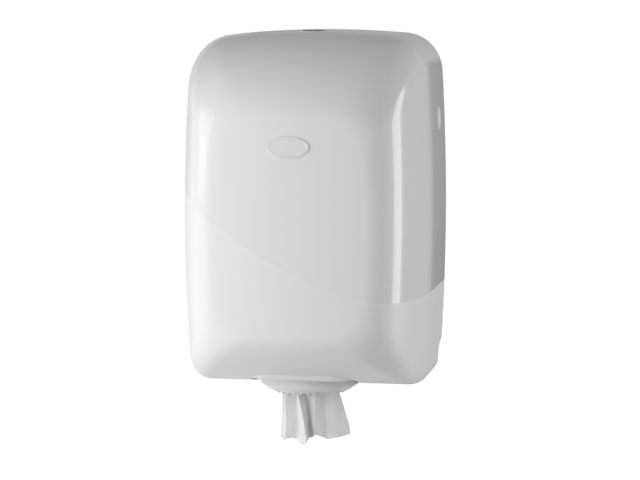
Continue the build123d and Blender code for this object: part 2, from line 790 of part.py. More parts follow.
# Paper roll with its open core
with BuildPart() as paper_roll:
    with BuildSketch(Plane.XY.offset(roll_bottom)):
        with Locations((0, roll_y)):
            Circle(roll_radius)
            Circle(roll_core_radius, mode=Mode.SUBTRACT)
    extrude(amount=roll_height)
    outer_edges = paper_roll.edges().filter_by(GeomType.CIRCLE).group_by(SortBy.RADIUS)[-1]
    fillet(outer_edges, roll_edge_round)
save(paper_roll, "paper_roll")

# Paper tail: one folded tube of sheet, gathered where it passes the ring and spread at the hem.
# Its folds as shares across and towards the wall, in the ring and at the hem, front left first.
neck_fold_shares = [
    (-1.0, 0.0), (-0.66, -0.3), (-0.78, -0.62), (-0.42, -0.5), (-0.26, -0.965), (-0.06, -0.5),
    (0.3, -0.95), (0.52, -0.52), (0.88, -0.47), (0.99, 0.1), (0.6, 0.28), (0.74, 0.67), (0.25, 0.5),
    (0.12, 0.99), (-0.2, 0.52), (-0.62, 0.78), (-0.62, 0.28),
]
hem_fold_shares = [
    (-0.76, -0.05), (-0.56, -0.22), (-0.55, -0.53), (-0.3, -0.4), (0.04, -0.63), (0.05, -0.22),
    (0.2, -0.5), (0.46, -0.36), (0.8, -0.32), (1.08, -0.04), (0.66, 0.1), (0.64, 0.44), (0.24, 0.2),
    (0.1, 0.55), (-0.18, 0.2), (-0.46, 0.46), (-0.52, 0.14),
]
# The torn hem, from left to right: share across and how far down it hangs
torn_hem_shares = [
    (-1.1, 0.7), (-0.76, 0.75), (-0.66, 1.0), (-0.58, 0.5), (-0.36, 0.45), (-0.2, 0.95), (-0.04, 1.0),
    (0.04, 0.7), (0.08, 0.05), (0.2, 0.0), (0.36, 0.25), (0.5, 0.6), (0.6, 0.45), (1.1, 0.15),
]
# The sharpest inside mitre of a fold
tail_fold_tightest_share = 0.35
# How far the flare has opened at each level below the ring
flare_level_shares = [0.0, 0.3, 0.65, 1.0]
flare_open_shares = [0.0, 0.36, 0.78, 1.0]
tail_neck_radius = ring_bore_radius - tail_ring_gap
tail_top = shelf_top + tail_top_above_shelf
tail_hem = cover_bottom - tail_hang
neck_folds = [(x * tail_neck_radius, y * tail_neck_radius) for x, y in neck_fold_shares]
hem_folds = [(x * tail_hem_reach, y * tail_hem_reach) for x, y in hem_fold_shares]


def fold_points(opened, inset):
    """Plan-view corners of the folds between ring and hem, moved in by a sheet's thickness."""
    corners = [
        Vector(neck[0] + (hem[0] - neck[0]) * opened, neck[1] + (hem[1] - neck[1]) * opened)
        for neck, hem in zip(neck_folds, hem_folds)
    ]
    moved = []
    for index, corner in enumerate(corners):
        after = (corners[(index + 1) % len(corners)] - corner).normalized()
        before = (corner - corners[index - 1]).normalized()
        inward = (Vector(-after.Y, after.X) + Vector(-before.Y, before.X)).normalized()
        mitre = inset / max(inward.dot(Vector(-after.Y, after.X)), tail_fold_tightest_share)
        moved.append((corner.X + inward.X * mitre, roll_y + corner.Y + inward.Y * mitre))
    return moved


def tail_solid(inset, past_ends):
    """Straight folds through the ring and the flare below it, with both ends moved past the sheet."""
    flare_height = ring_bottom - tail_hem + past_ends
    levels = [ring_bottom - flare_height * share for share in flare_level_shares]
    outlines = []
    for opened in flare_open_shares:
        with BuildSketch() as outline:
            with BuildLine():
                Polyline(*fold_points(opened, inset), close=True)
            make_face()
            fillet(outline.vertices(), tail_fold_round)
        outlines.append(outline.sketch)
    with BuildPart() as body:
        for level, outline in zip(levels, outlines):
            with BuildSketch(Plane.XY.offset(level)):
                add(outline)
        loft(ruled=True)
        with BuildSketch(Plane.XY.offset(ring_bottom)):
            add(outlines[0])
        extrude(amount=tail_top - ring_bottom + past_ends)
    return body.part


tail_outside = tail_solid(0.0, 0.0)
tail_inside = tail_solid(tail_sheet, overrun)
with BuildPart() as paper_tail:
    add(tail_outside)
    add(tail_inside, mode=Mode.SUBTRACT)
    with BuildSketch(Plane.XZ.offset(-roll_y - tail_hem_reach)):
        with BuildLine():
            hem_line = [
                (x * tail_hem_reach, tail_hem + tail_hem_rag * (1 - drop)) for x, drop in torn_hem_shares
            ]
            Polyline(
                *hem_line,
                (hem_line[-1][0], tail_hem - overrun),
                (hem_line[0][0], tail_hem - overrun),
                close=True,
            )
        make_face()
    extrude(amount=2 * tail_hem_reach, mode=Mode.SUBTRACT)
save(paper_tail, "paper_tail")
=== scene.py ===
"""Looks of the centrefeed roll dispenser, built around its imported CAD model. Metres, +Z up, wall at Y = 0."""

from __future__ import annotations

import logging
import math
from abc import ABC, abstractmethod
from dataclasses import dataclass
from enum import Enum
from typing import Sequence, Union

import bmesh
import bpy
from mathutils import Matrix, Vector, noise

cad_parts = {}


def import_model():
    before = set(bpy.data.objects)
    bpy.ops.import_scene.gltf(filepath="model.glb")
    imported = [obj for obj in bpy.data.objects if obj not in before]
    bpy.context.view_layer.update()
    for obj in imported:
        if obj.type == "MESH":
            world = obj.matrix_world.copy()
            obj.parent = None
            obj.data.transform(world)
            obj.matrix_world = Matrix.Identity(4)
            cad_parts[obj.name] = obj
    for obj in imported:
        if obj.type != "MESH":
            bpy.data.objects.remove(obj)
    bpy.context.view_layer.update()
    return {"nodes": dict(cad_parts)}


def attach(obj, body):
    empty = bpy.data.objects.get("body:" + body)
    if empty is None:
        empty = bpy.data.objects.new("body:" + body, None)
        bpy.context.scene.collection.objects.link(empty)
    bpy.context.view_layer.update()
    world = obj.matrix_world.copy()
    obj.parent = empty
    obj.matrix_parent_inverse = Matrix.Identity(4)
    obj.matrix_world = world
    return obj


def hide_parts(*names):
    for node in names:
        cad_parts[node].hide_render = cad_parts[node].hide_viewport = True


LOG = logging.getLogger("dispenser")
Pair = tuple[float, float]
Triple = tuple[float, float, float]
Colour = Triple
Number = Union[int, float, "Value"]
Mesh = bmesh.types.BMesh
Piece = bpy.types.Object

PLASTIC_IOR = 1.49
# Angles in degrees: edges that stay sharp, edges that a Bevel rounds, faces that count as flat.
SHARP_ANGLE, SOFTENED_ANGLE, FLAT_ANGLE = 32.0, 40.0, 0.5
# How near vertices lie that are merged, after a cut and in a CAD mesh.
MERGED, CAD_MERGED = 0.00001, 0.000002
ROUND = {"offset_type": "OFFSET", "profile": 0.5, "material": -1}
BLACK, WHITE = (0.0, 0.0, 0.0), (1.0, 1.0, 1.0)
UPRIGHT = Matrix.Rotation(math.pi / 2, 4, "X")


class Slot(Enum):
    """Material slots that the record gives the pieces."""

    INNER_PLASTIC = "inner_plastic"
    ZINC = "zinc"
    COVER_SATIN = "cover_satin"
    PIN_STEEL = "pin_steel"
    COVER_GLOSS = "cover_gloss"
    CLEAR = "clear"
    LOCK_DARK = "lock_dark"
    LOCK_METAL = "lock_metal"
    PAPER = "paper"


class Side(Enum):
    """Sides of the dispenser, seen from the front."""

    LEFT = -1
    RIGHT = 1


# Shader building


class Value:
    """A shader output that takes part in sums."""

    def __init__(self, graph: "Graph", socket: bpy.types.NodeSocket) -> None:
        """Keeps the output and the graph that it belongs to."""
        self.graph = graph
        self.socket = socket

    def math(self, operation: str, *operands: Number, clamp: bool = False) -> "Value":
        """Result of a Math node.

        Args:
            operation: the node's operation.
            operands: its inputs, in order.
            clamp: whether the result is held between 0 and 1.

        Returns:
            The node's output.
        """
        settings = {"operation": operation, "use_clamp": clamp}
        made = self.graph.node("ShaderNodeMath", settings, dict(enumerate(operands)))
        return Value(self.graph, made.outputs[0])

    def __add__(self, other: Number) -> "Value":
        """Sum."""
        return self.math("ADD", self, other)

    __radd__ = __add__

    def __sub__(self, other: Number) -> "Value":
        """Difference."""
        return self.math("SUBTRACT", self, other)

    def __rsub__(self, other: Number) -> "Value":
        """Difference, the other way round."""
        return self.math("SUBTRACT", other, self)

    def __mul__(self, other: Number) -> "Value":
        """Product."""
        return self.math("MULTIPLY", self, other)

    def __truediv__(self, other: Number) -> "Value":
        """Quotient."""
        return self.math("DIVIDE", self, other)

    def __pow__(self, other: Number) -> "Value":
        """Power."""
        return self.math("POWER", self, other)

    def clamped(self) -> "Value":
        """The value held between 0 and 1."""
        return self.math("ADD", self, 0.0, clamp=True)

    def sine(self) -> "Value":
        """Sine of the value."""
        return self.math("SINE", self)


@dataclass(frozen=True)
class Grain:
    """Noise texture: its fineness, how many finer layers it has and how strong these are."""

    scale: float
    detail: float = 3.0
    rough: float = 0.5


class Graph:
    """Node tree of one material."""

    def __init__(self, tree: bpy.types.NodeTree) -> None:
        """Starts on an emptied node tree."""
        self.tree = tree
        self.tree.nodes.clear()

    def node(self, kind: str, settings: dict, inputs: dict) -> bpy.types.Node:
        """Adds one node.

        Args:
            kind: the node's type.
            settings: its own settings, made before the inputs.
            inputs: values or links by input name, identifier or number.

        Returns:
            The new node.
        """
        made = self.tree.nodes.new(kind)
        for name, value in settings.items():
            setattr(made, name, value)
        for key, value in inputs.items():
            socket = made.inputs[key] if isinstance(key, int) else self.socket(made.inputs, key)
            if isinstance(value, Value):
                self.tree.links.new(value.socket, socket)
            else:
                socket.default_value = value
        return made

    @staticmethod
    def socket(sockets: bpy.types.bpy_prop_collection, key: str) -> bpy.types.NodeSocket:
        """Socket with that identifier, or else that name."""
        exact = [s for s in sockets if s.identifier == key]
        return exact[0] if exact else sockets[key]

    def output(self, node: bpy.types.Node, key: str) -> Value:
        """A node's output, as a value."""
        return Value(self, self.socket(node.outputs, key))

    def place(self, kind: str = "Object") -> Value:
        """Texture coordinates of the piece."""
        return self.output(self.node("ShaderNodeTexCoord", {}, {}), kind)

    def parts(self, vector: Value) -> tuple[Value, Value, Value]:
        """A vector's three parts."""
        split = self.node("ShaderNodeSeparateXYZ", {}, {"Vector": vector})
        return tuple(self.output(split, axis) for axis in "XYZ")

    def vector(self, x: Number, y: Number, z: Number) -> Value:
        """A vector from three parts."""
        return self.output(self.node("ShaderNodeCombineXYZ", {}, {"X": x, "Y": y, "Z": z}), "Vector")

    def scaled(self, vector: Value, scales: Triple) -> Value:
        """A vector with each part multiplied."""
        node = self.node("ShaderNodeVectorMath", {"operation": "MULTIPLY"}, {0: vector, 1: scales})
        return self.output(node, "Vector")

    def noise(self, vector: Value, grain: Grain) -> Value:
        """Noise texture's value, about 0.5 on average."""
        inputs = {"Vector": vector, "Scale": grain.scale, "Detail": grain.detail, "Roughness": grain.rough}
        return self.output(self.node("ShaderNodeTexNoise", {}, inputs), "Fac")

    def cells(self, vector: Value, scale: float) -> Value:
        """Distance to the nearest point of a cell pattern."""
        node = self.node("ShaderNodeTexVoronoi", {}, {"Vector": vector, "Scale": scale, "Randomness": 0.25})
        return self.output(node, "Distance")

    def rays(self) -> list[Value]:
        """Whether a ray is from the camera, glossy or transmitted."""
        path = self.node("ShaderNodeLightPath", {}, {})
        return [self.output(path, f"Is {kind} Ray") for kind in ("Camera", "Glossy", "Transmission")]

    def mix(self, share: Number, first: Colour | Value, second: Colour | Value) -> Value:
        """Colour between two.

        Args:
            share: how much of the second one it holds.
            first: a colour.
            second: another colour.

        Returns:
            The mixed colour.
        """
        ends = [v if isinstance(v, Value) else (*v, 1.0) for v in (first, second)]
        inputs = {"Factor_Float": share, "A_Color": ends[0], "B_Color": ends[1]}
        return self.output(self.node("ShaderNodeMix", {"data_type": "RGBA"}, inputs), "Result_Color")

    def relief(self, height: Value, depth: float, strength: float = 1.0) -> Value:
        """Normal of a surface with fine relief, its height from 0 to 1 and its depth in metres."""
        node = self.node("ShaderNodeBump", {}, {"Height": height, "Distance": depth, "Strength": strength})
        return self.output(node, "Normal")

    def finish(self, inputs: dict) -> None:
        """Ends the tree in a Principled shader with these inputs."""
        shader = self.node("ShaderNodeBsdfPrincipled", {}, inputs)
        self.node("ShaderNodeOutputMaterial", {}, {"Surface": self.output(shader, "BSDF")})


class Finish(ABC):
    """A material with a name and a surface."""

    label: str

    @abstractmethod
    def surface(self, graph: Graph) -> None:
        """Builds the shader."""

    def material(self) -> bpy.types.Material:
        """The finish's material, made the first time that it is asked for.

        Returns:
            The material.
        """
        known = bpy.data.materials.get(self.label)
        if known:
            return known
        made = bpy.data.materials.new(self.label)
        made.use_nodes = True
        self.surface(Graph(made.node_tree))
        return made

    def dress(self, piece: Piece) -> None:
        """Gives a piece this finish all over."""
        piece.data.materials.clear()
        piece.data.materials.append(self.material())


@dataclass(frozen=True)
class CoverFinish(Finish):
    """White plastic, glossy above a sweeping line and satin below it."""

    label: str = "cover_white"
    gloss_colour: Colour = (0.80, 0.80, 0.80)
    satin_colour: Colour = (0.815, 0.815, 0.815)
    gloss_roughness: float = 0.11
    satin_roughness: float = 0.42
    half_width: float = 0.120
    line_low: float = -0.080
    line_rise: float = 0.115
    line_power: float = 1.9
    line_edge: float = 0.0004
    cloud: Grain = Grain(9.0, 2.0)
    cloud_colour: Colour = (0.72, 0.72, 0.70)
    cloud_share: float = 0.05
    wipe: Grain = Grain(38.0, 4.0, 0.6)
    wipe_stretch: Triple = (1.0, 1.0, 0.35)
    gloss_wipe: float = 0.05
    satin_wipe: float = 0.08
    grain: Grain = Grain(1500.0, 2.0)
    grain_share: float = 0.6
    swell: Grain = Grain(75.0, 1.0)
    swell_share: float = 0.25
    relief: Pair = (0.00006, 0.35)

    def surface(self, graph: Graph) -> None:
        """Builds the shader.

        Args:
            graph: the material's node tree.
        """
        place = graph.place()
        across, _, up = graph.parts(place)
        share = ((across + self.half_width) / (2 * self.half_width)).clamped()
        line = (1.0 - share) ** self.line_power * self.line_rise + self.line_low
        satin = ((line - up) / self.line_edge + 0.5).clamped()
        cloud = graph.noise(place, self.cloud)
        wiped = graph.noise(graph.scaled(place, self.wipe_stretch), self.wipe) - 0.5
        base = graph.mix(satin, self.gloss_colour, self.satin_colour)
        gloss = self.gloss_roughness + wiped * self.gloss_wipe
        rougher = satin * (self.satin_roughness - self.gloss_roughness) + satin * wiped * self.satin_wipe
        grain = (graph.noise(place, self.grain) - 0.5) * satin * self.grain_share
        swell = (graph.noise(place, self.swell) - 0.5) * (1.0 - satin) * self.swell_share
        graph.finish({
            "Base Color": graph.mix(cloud * self.cloud_share, base, self.cloud_colour),
            "Roughness": gloss + rougher,
            "IOR": PLASTIC_IOR,
            "Normal": graph.relief(grain + swell + 0.5, *self.relief),
        })


@dataclass(frozen=True)
class Moulded(Finish):
    """Moulded plastic with a fine grain and slight flow marks."""

    label: str
    colour: Colour
    shade: Colour
    roughness: float
    grain: Grain = Grain(1300.0, 2.0)
    relief: Pair = (0.00008, 0.6)
    cloud: Grain = Grain(14.0, 4.0, 0.6)
    cloud_stretch: Triple = (1.0, 1.0, 2.2)
    rub: Grain = Grain(60.0, 5.0, 0.65)
    rub_share: float = 0.16

    def surface(self, graph: Graph) -> None:
        """Builds the shader.

        Args:
            graph: the material's node tree.
        """
        place = graph.place()
        cloud = graph.noise(graph.scaled(place, self.cloud_stretch), self.cloud)
        fine = graph.noise(place, self.grain)
        rubbed = graph.noise(place, self.rub)
        graph.finish({
            "Base Color": graph.mix((cloud * 1.6 - 0.4).clamped(), self.colour, self.shade),
            "Roughness": self.roughness + (rubbed - 0.5) * self.rub_share,
            "IOR": PLASTIC_IOR,
            "Normal": graph.relief(fine * 0.7 + rubbed * 0.3, *self.relief),
        })


@dataclass(frozen=True)
class Metal(Finish):
    """Plain or plated metal with fine marks drawn one way."""

    label: str
    colour: Colour
    shade: Colour
    roughness: float
    drawn: Triple = (1.0, 1.0, 14.0)
    marks: Grain = Grain(420.0, 4.0, 0.6)
    bloom: Grain = Grain(90.0, 5.0, 0.6)
    relief: Pair = (0.00003, 0.5)

    def surface(self, graph: Graph) -> None:
        """Builds the shader.

        Args:
            graph: the material's node tree.
        """
        place = graph.place()
        marks = graph.noise(graph.scaled(place, self.drawn), self.marks)
        bloom = graph.noise(place, self.bloom)
        graph.finish({
            "Base Color": graph.mix((bloom * 1.8 - 0.5).clamped(), self.colour, self.shade),
            "Metallic": 1.0,
            "Roughness": self.roughness + (bloom - 0.5) * 0.22 + (marks - 0.5) * 0.1,
            "Normal": graph.relief(marks, *self.relief),
        })


@dataclass(frozen=True)
class ClearPlastic(Finish):
    """Frosted clear plastic of the sight windows."""

    label: str = "window_clear"
    colour: Colour = (0.90, 0.91, 0.92)
    shade: Colour = (0.82, 0.83, 0.84)
    roughness: float = 0.5
    clearness: float = 0.1
    cloud: Grain = Grain(160.0, 4.0, 0.6)
    frost: Grain = Grain(900.0, 2.0)
    relief: Pair = (0.00003, 0.4)

    def surface(self, graph: Graph) -> None:
        """Builds the shader.

        Args:
            graph: the material's node tree.
        """
        place = graph.place()
        cloud = graph.noise(place, self.cloud)
        graph.finish({
            "Base Color": graph.mix(cloud * 0.3, self.colour, self.shade),
            "Roughness": self.roughness + (cloud - 0.5) * 0.12,
            "IOR": PLASTIC_IOR,
            "Transmission Weight": self.clearness,
            "Normal": graph.relief(graph.noise(place, self.frost), *self.relief),
        })


@dataclass(frozen=True)
class RollPaper(Finish):
    """Wound paper: embossed dots round the outside, edges of the plies on both ends, both with painted shade.
    """

    label: str = "roll_paper"
    colour: Colour = (0.82, 0.81, 0.79)
    shade: Colour = (0.70, 0.69, 0.66)
    centre_y: float = -0.110
    outside: float = 0.0935
    ply: float = 0.0013
    dot: float = 0.0032
    skin_edge: float = 0.0004
    drift: Grain = Grain(260.0, 4.0, 0.6)
    drift_round: float = 0.004
    fibre: Grain = Grain(1400.0, 3.0, 0.6)
    roughness: float = 0.88
    relief: Pair = (0.0005, 0.7)

    def surface(self, graph: Graph) -> None:
        """Builds the shader.

        Args:
            graph: the material's node tree.
        """
        place = graph.place()
        x, y, z = graph.parts(place)
        back = y - self.centre_y
        angle = back.math("ARCTAN2", back, x)
        far = (x * x + back * back) ** 0.5
        skin = ((far - self.outside) / self.skin_edge).clamped()
        wrapped = graph.vector(angle * self.outside, z, 0.0)
        dots = graph.cells(wrapped, 1.0 / self.dot)
        drift = graph.noise(graph.vector(far, angle * self.drift_round, 0.0), self.drift)
        turns = ((far / self.ply + drift * 5.0) * math.tau).sine() * 0.5 + 0.5
        fibre = graph.noise(place, self.fibre)
        height = dots * skin + turns * (1.0 - skin) * 0.7 + fibre * 0.25
        # painted shade between the plies and in the embossed dots, plus random tone from the drift noise
        dark = (turns * (1.0 - skin) * 0.35 + (1.0 - dots) * skin * 0.16 + (drift - 0.5) * 0.5).clamped()
        graph.finish({
            "Base Color": graph.mix(dark, self.colour, self.shade),
            "Roughness": self.roughness + (fibre - 0.5) * 0.1,
            "Normal": graph.relief(height, *self.relief),
        })


@dataclass(frozen=True)
class TailPaper(Finish):
    """Soft creped sheet, its pattern on the sheet's own map, with painted shade that greys it along the
    crumples.
    """

    label: str = "tail_paper"
    colour: Colour = (0.90, 0.90, 0.90)
    shade: Colour = (0.78, 0.78, 0.78)
    flat: Pair = (0.228, 0.133)
    crepe: Grain = Grain(620.0, 3.0, 0.55)
    crepe_stretch: Triple = (1.0, 3.2, 1.0)
    crumple: Grain = Grain(70.0, 5.0, 0.6)
    dots: float = 330.0
    roughness: float = 0.9
    relief: Pair = (0.0008, 0.8)

    def surface(self, graph: Graph) -> None:
        """Builds the shader.

        Args:
            graph: the material's node tree.
        """
        flat = graph.scaled(graph.place("UV"), (*self.flat, 0.0))
        crepe = graph.noise(graph.scaled(flat, self.crepe_stretch), self.crepe)
        dots = graph.cells(flat, self.dots)
        crumple = graph.noise(flat, self.crumple)
        graph.finish({
            # painted shade: the colour greys with the crumple noise that also raises the relief
            "Base Color": graph.mix((crumple * 0.5 - 0.1).clamped(), self.colour, self.shade),
            "Roughness": self.roughness + (crepe - 0.5) * 0.1,
            "Normal": graph.relief(crepe * 0.4 + dots * 0.35 + crumple * 1.6, *self.relief),
        })


WHITE_PLASTIC = CoverFinish()
SATIN_PLASTIC = Moulded("outlet_satin", (0.80, 0.80, 0.80), (0.75, 0.75, 0.74), 0.38)
INNER_PLASTIC = Moulded("inner_plastic", (0.46, 0.48, 0.49), (0.41, 0.42, 0.43), 0.46)
LOCK_PLASTIC = Moulded("lock_dark", (0.035, 0.033, 0.032), (0.055, 0.050, 0.047), 0.38)
BADGE_PLASTIC = Moulded(
    "badge_white", (0.80, 0.80, 0.80), (0.76, 0.76, 0.755), 0.13, Grain(900.0, 2.0), (0.00002, 0.6)
)
ZINC = Metal("zinc_plate", (0.62, 0.64, 0.66), (0.47, 0.50, 0.53), 0.34)
PIN_STEEL = Metal("pin_steel", (0.56, 0.55, 0.54), (0.44, 0.43, 0.42), 0.26, (14.0, 1.0, 1.0))
LOCK_NICKEL = Metal("lock_nickel", (0.68, 0.67, 0.64), (0.55, 0.53, 0.50), 0.24, (1.0, 8.0, 1.0))
CLEAR = ClearPlastic()
ROLL_PAPER = RollPaper()
TAIL_PAPER = TailPaper()


# Meshes


def shade_smooth(data: bpy.types.Mesh, sharp: float) -> None:
    """Smooth shading, with the edges from an angle in degrees left sharp."""
    data.polygons.foreach_set("use_smooth", [True] * len(data.polygons))
    data.set_sharp_from_angle(angle=math.radians(sharp))


def linked(name: str, data: bpy.types.ID) -> Piece:
    """New object in the scene, with this data.

    Args:
        name: its name.
        data: its mesh, lamp or camera.

    Returns:
        The object.
    """
    made = bpy.data.objects.new(name, data)
    bpy.context.scene.collection.objects.link(made)
    return made


def aimed(place: Vector, way: Vector, axis: str = "-Z") -> Matrix:
    """Matrix that puts an object at a place, with its axis along a direction."""
    return Matrix.Translation(place) @ way.to_track_quat(axis, "Y").to_matrix().to_4x4()


def face_outward(mesh: Mesh) -> None:
    """Turns the faces of a solid outward."""
    bmesh.ops.recalc_face_normals(mesh, faces=mesh.faces[:])


def extruded(mesh: Mesh, faces: list[bmesh.types.BMFace], by: Triple) -> list[bmesh.types.BMFace]:
    """Extrudes faces.

    Args:
        mesh: what they belong to.
        faces: the faces.
        by: how far they move.

    Returns:
        The faces in their new place.
    """
    made = bmesh.ops.extrude_face_region(mesh, geom=faces)["geom"]
    bmesh.ops.translate(mesh, vec=by, verts=[v for v in made if isinstance(v, bmesh.types.BMVert)])
    return [f for f in made if isinstance(f, bmesh.types.BMFace)]


def new_piece(name: str, mesh: Mesh, sharp: float = SHARP_ANGLE) -> Piece:
    """Object made from a finished bmesh, which is freed.

    Args:
        name: the object's name.
        mesh: its shape, in place.
        sharp: angle in degrees from which an edge stays sharp.

    Returns:
        The object.
    """
    data = bpy.data.meshes.new(name)
    mesh.to_mesh(data)
    mesh.free()
    shade_smooth(data, sharp)
    return linked(name, data)


def round_bar(
    mesh: Mesh, centre: Vector, along: Vector, radius: float, length: float, sides: int
) -> None:
    """Adds a closed cylinder.

    Args:
        mesh: what it is added to.
        centre: its middle.
        along: its direction.
        radius: its radius.
        length: its length.
        sides: how many sides it has.
    """
    bmesh.ops.create_cone(
        mesh, cap_ends=True, segments=sides, radius1=radius, radius2=radius, depth=length,
        matrix=aimed(centre, along, "Z"),
    )


def cut_or_join(piece: Piece, tool: Piece, operation: str) -> None:
    """Cuts one solid with another or joins them, for good, and removes the other.

    Args:
        piece: the solid that stays.
        tool: the solid that is used up.
        operation: DIFFERENCE or UNION.
    """
    step = piece.modifiers.new("step", "BOOLEAN")
    step.operation = operation
    step.solver = "EXACT"
    step.object = tool
    tool_mesh = tool.data
    graph = bpy.context.evaluated_depsgraph_get()
    result = bpy.data.meshes.new_from_object(piece.evaluated_get(graph))
    old = piece.data
    piece.modifiers.remove(step)
    piece.data = result
    result.name = piece.name
    bpy.data.meshes.remove(old)
    bpy.data.objects.remove(tool)
    bpy.data.meshes.remove(tool_mesh)


def settle(piece: Piece) -> None:
    """Merges what a cut left double, and marks the sharp edges.

    Args:
        piece: the piece.
    """
    mesh = bmesh.new()
    mesh.from_mesh(piece.data)
    bmesh.ops.remove_doubles(mesh, verts=mesh.verts[:], dist=MERGED)
    mesh.to_mesh(piece.data)
    mesh.free()
    shade_smooth(piece.data, SHARP_ANGLE)


def soften_edges(piece: Piece, width: float, segments: int) -> None:
    """Rounds a piece's sharp edges with a live Bevel.

    Args:
        piece: the piece.
        width: the rounding's width.
        segments: how many steps it has.
    """
    step = piece.modifiers.new("edges", "BEVEL")
    step.width = width
    step.segments = segments
    step.limit_method = "ANGLE"
    step.angle_limit = math.radians(SOFTENED_ANGLE)
    step.use_clamp_overlap = True
    step.harden_normals = False


def seated(piece: Piece, body: str, slot: Slot, *stands_for: str) -> Piece:
    """Ties a piece to its CAD body and hides the CAD nodes that it stands for.

    Args:
        piece: the piece.
        body: the CAD body that it moves with.
        slot: its material slot; not used.
        stands_for: the CAD nodes that it replaces.

    Returns:
        The piece.
    """
    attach(piece, body)
    if stands_for:
        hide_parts(*stands_for)
    return piece


# Cover


@dataclass(frozen=True)
class Rounding:
    """Rounding of the cover's front along one side."""

    reach: float
    depth: float
    power: float

    def drawn_in(self, behind: float, inset: float) -> float:
        """How far an edge is drawn in, at a distance behind the front plane of an inset skin."""
        share = max(0.0, 1.0 - behind / (self.depth - inset))
        return (self.reach - inset) * self.share(share)

    def share(self, near: float) -> float:
        """Share of the reach, from how near the front plane is."""
        return 1.0 - (1.0 - near**self.power) ** (1.0 / self.power)


@dataclass(frozen=True)
class Arc:
    """Part of a circle in the front view."""

    centre: Vector
    radius: float

    @staticmethod
    def through(first: Vector, middle: Vector, last: Vector) -> "Arc":
        """Circle through three points.

        Args:
            first: a point.
            middle: another one.
            last: the third one.

        Returns:
            The circle.
        """
        a, b = middle - first, last - first
        cross = 2.0 * (a.x * b.y - a.y * b.x)
        x = (b.y * a.length_squared - a.y * b.length_squared) / cross
        y = (a.x * b.length_squared - b.x * a.length_squared) / cross
        return Arc(first + Vector((x, y)), math.hypot(x, y))

    def towards(self, point: Vector) -> Vector:
        """Point of the circle on the way from its centre to a point."""
        return self.centre + (point - self.centre).normalized() * self.radius

    def run(self, start: Vector, end: Vector, steps: int) -> list[Vector]:
        """Points along the shorter way round from start, without the end.

        Args:
            start: where it starts.
            end: where it would end.
            steps: how many points.

        Returns:
            The points.
        """
        first = start - self.centre
        turn = first.angle_signed(end - self.centre)
        points = []
        for step in range(steps):
            angle = -turn * step / steps
            c, s = math.cos(angle), math.sin(angle)
            points.append(self.centre + Vector((first.x * c - first.y * s, first.x * s + first.y * c)))
        return points


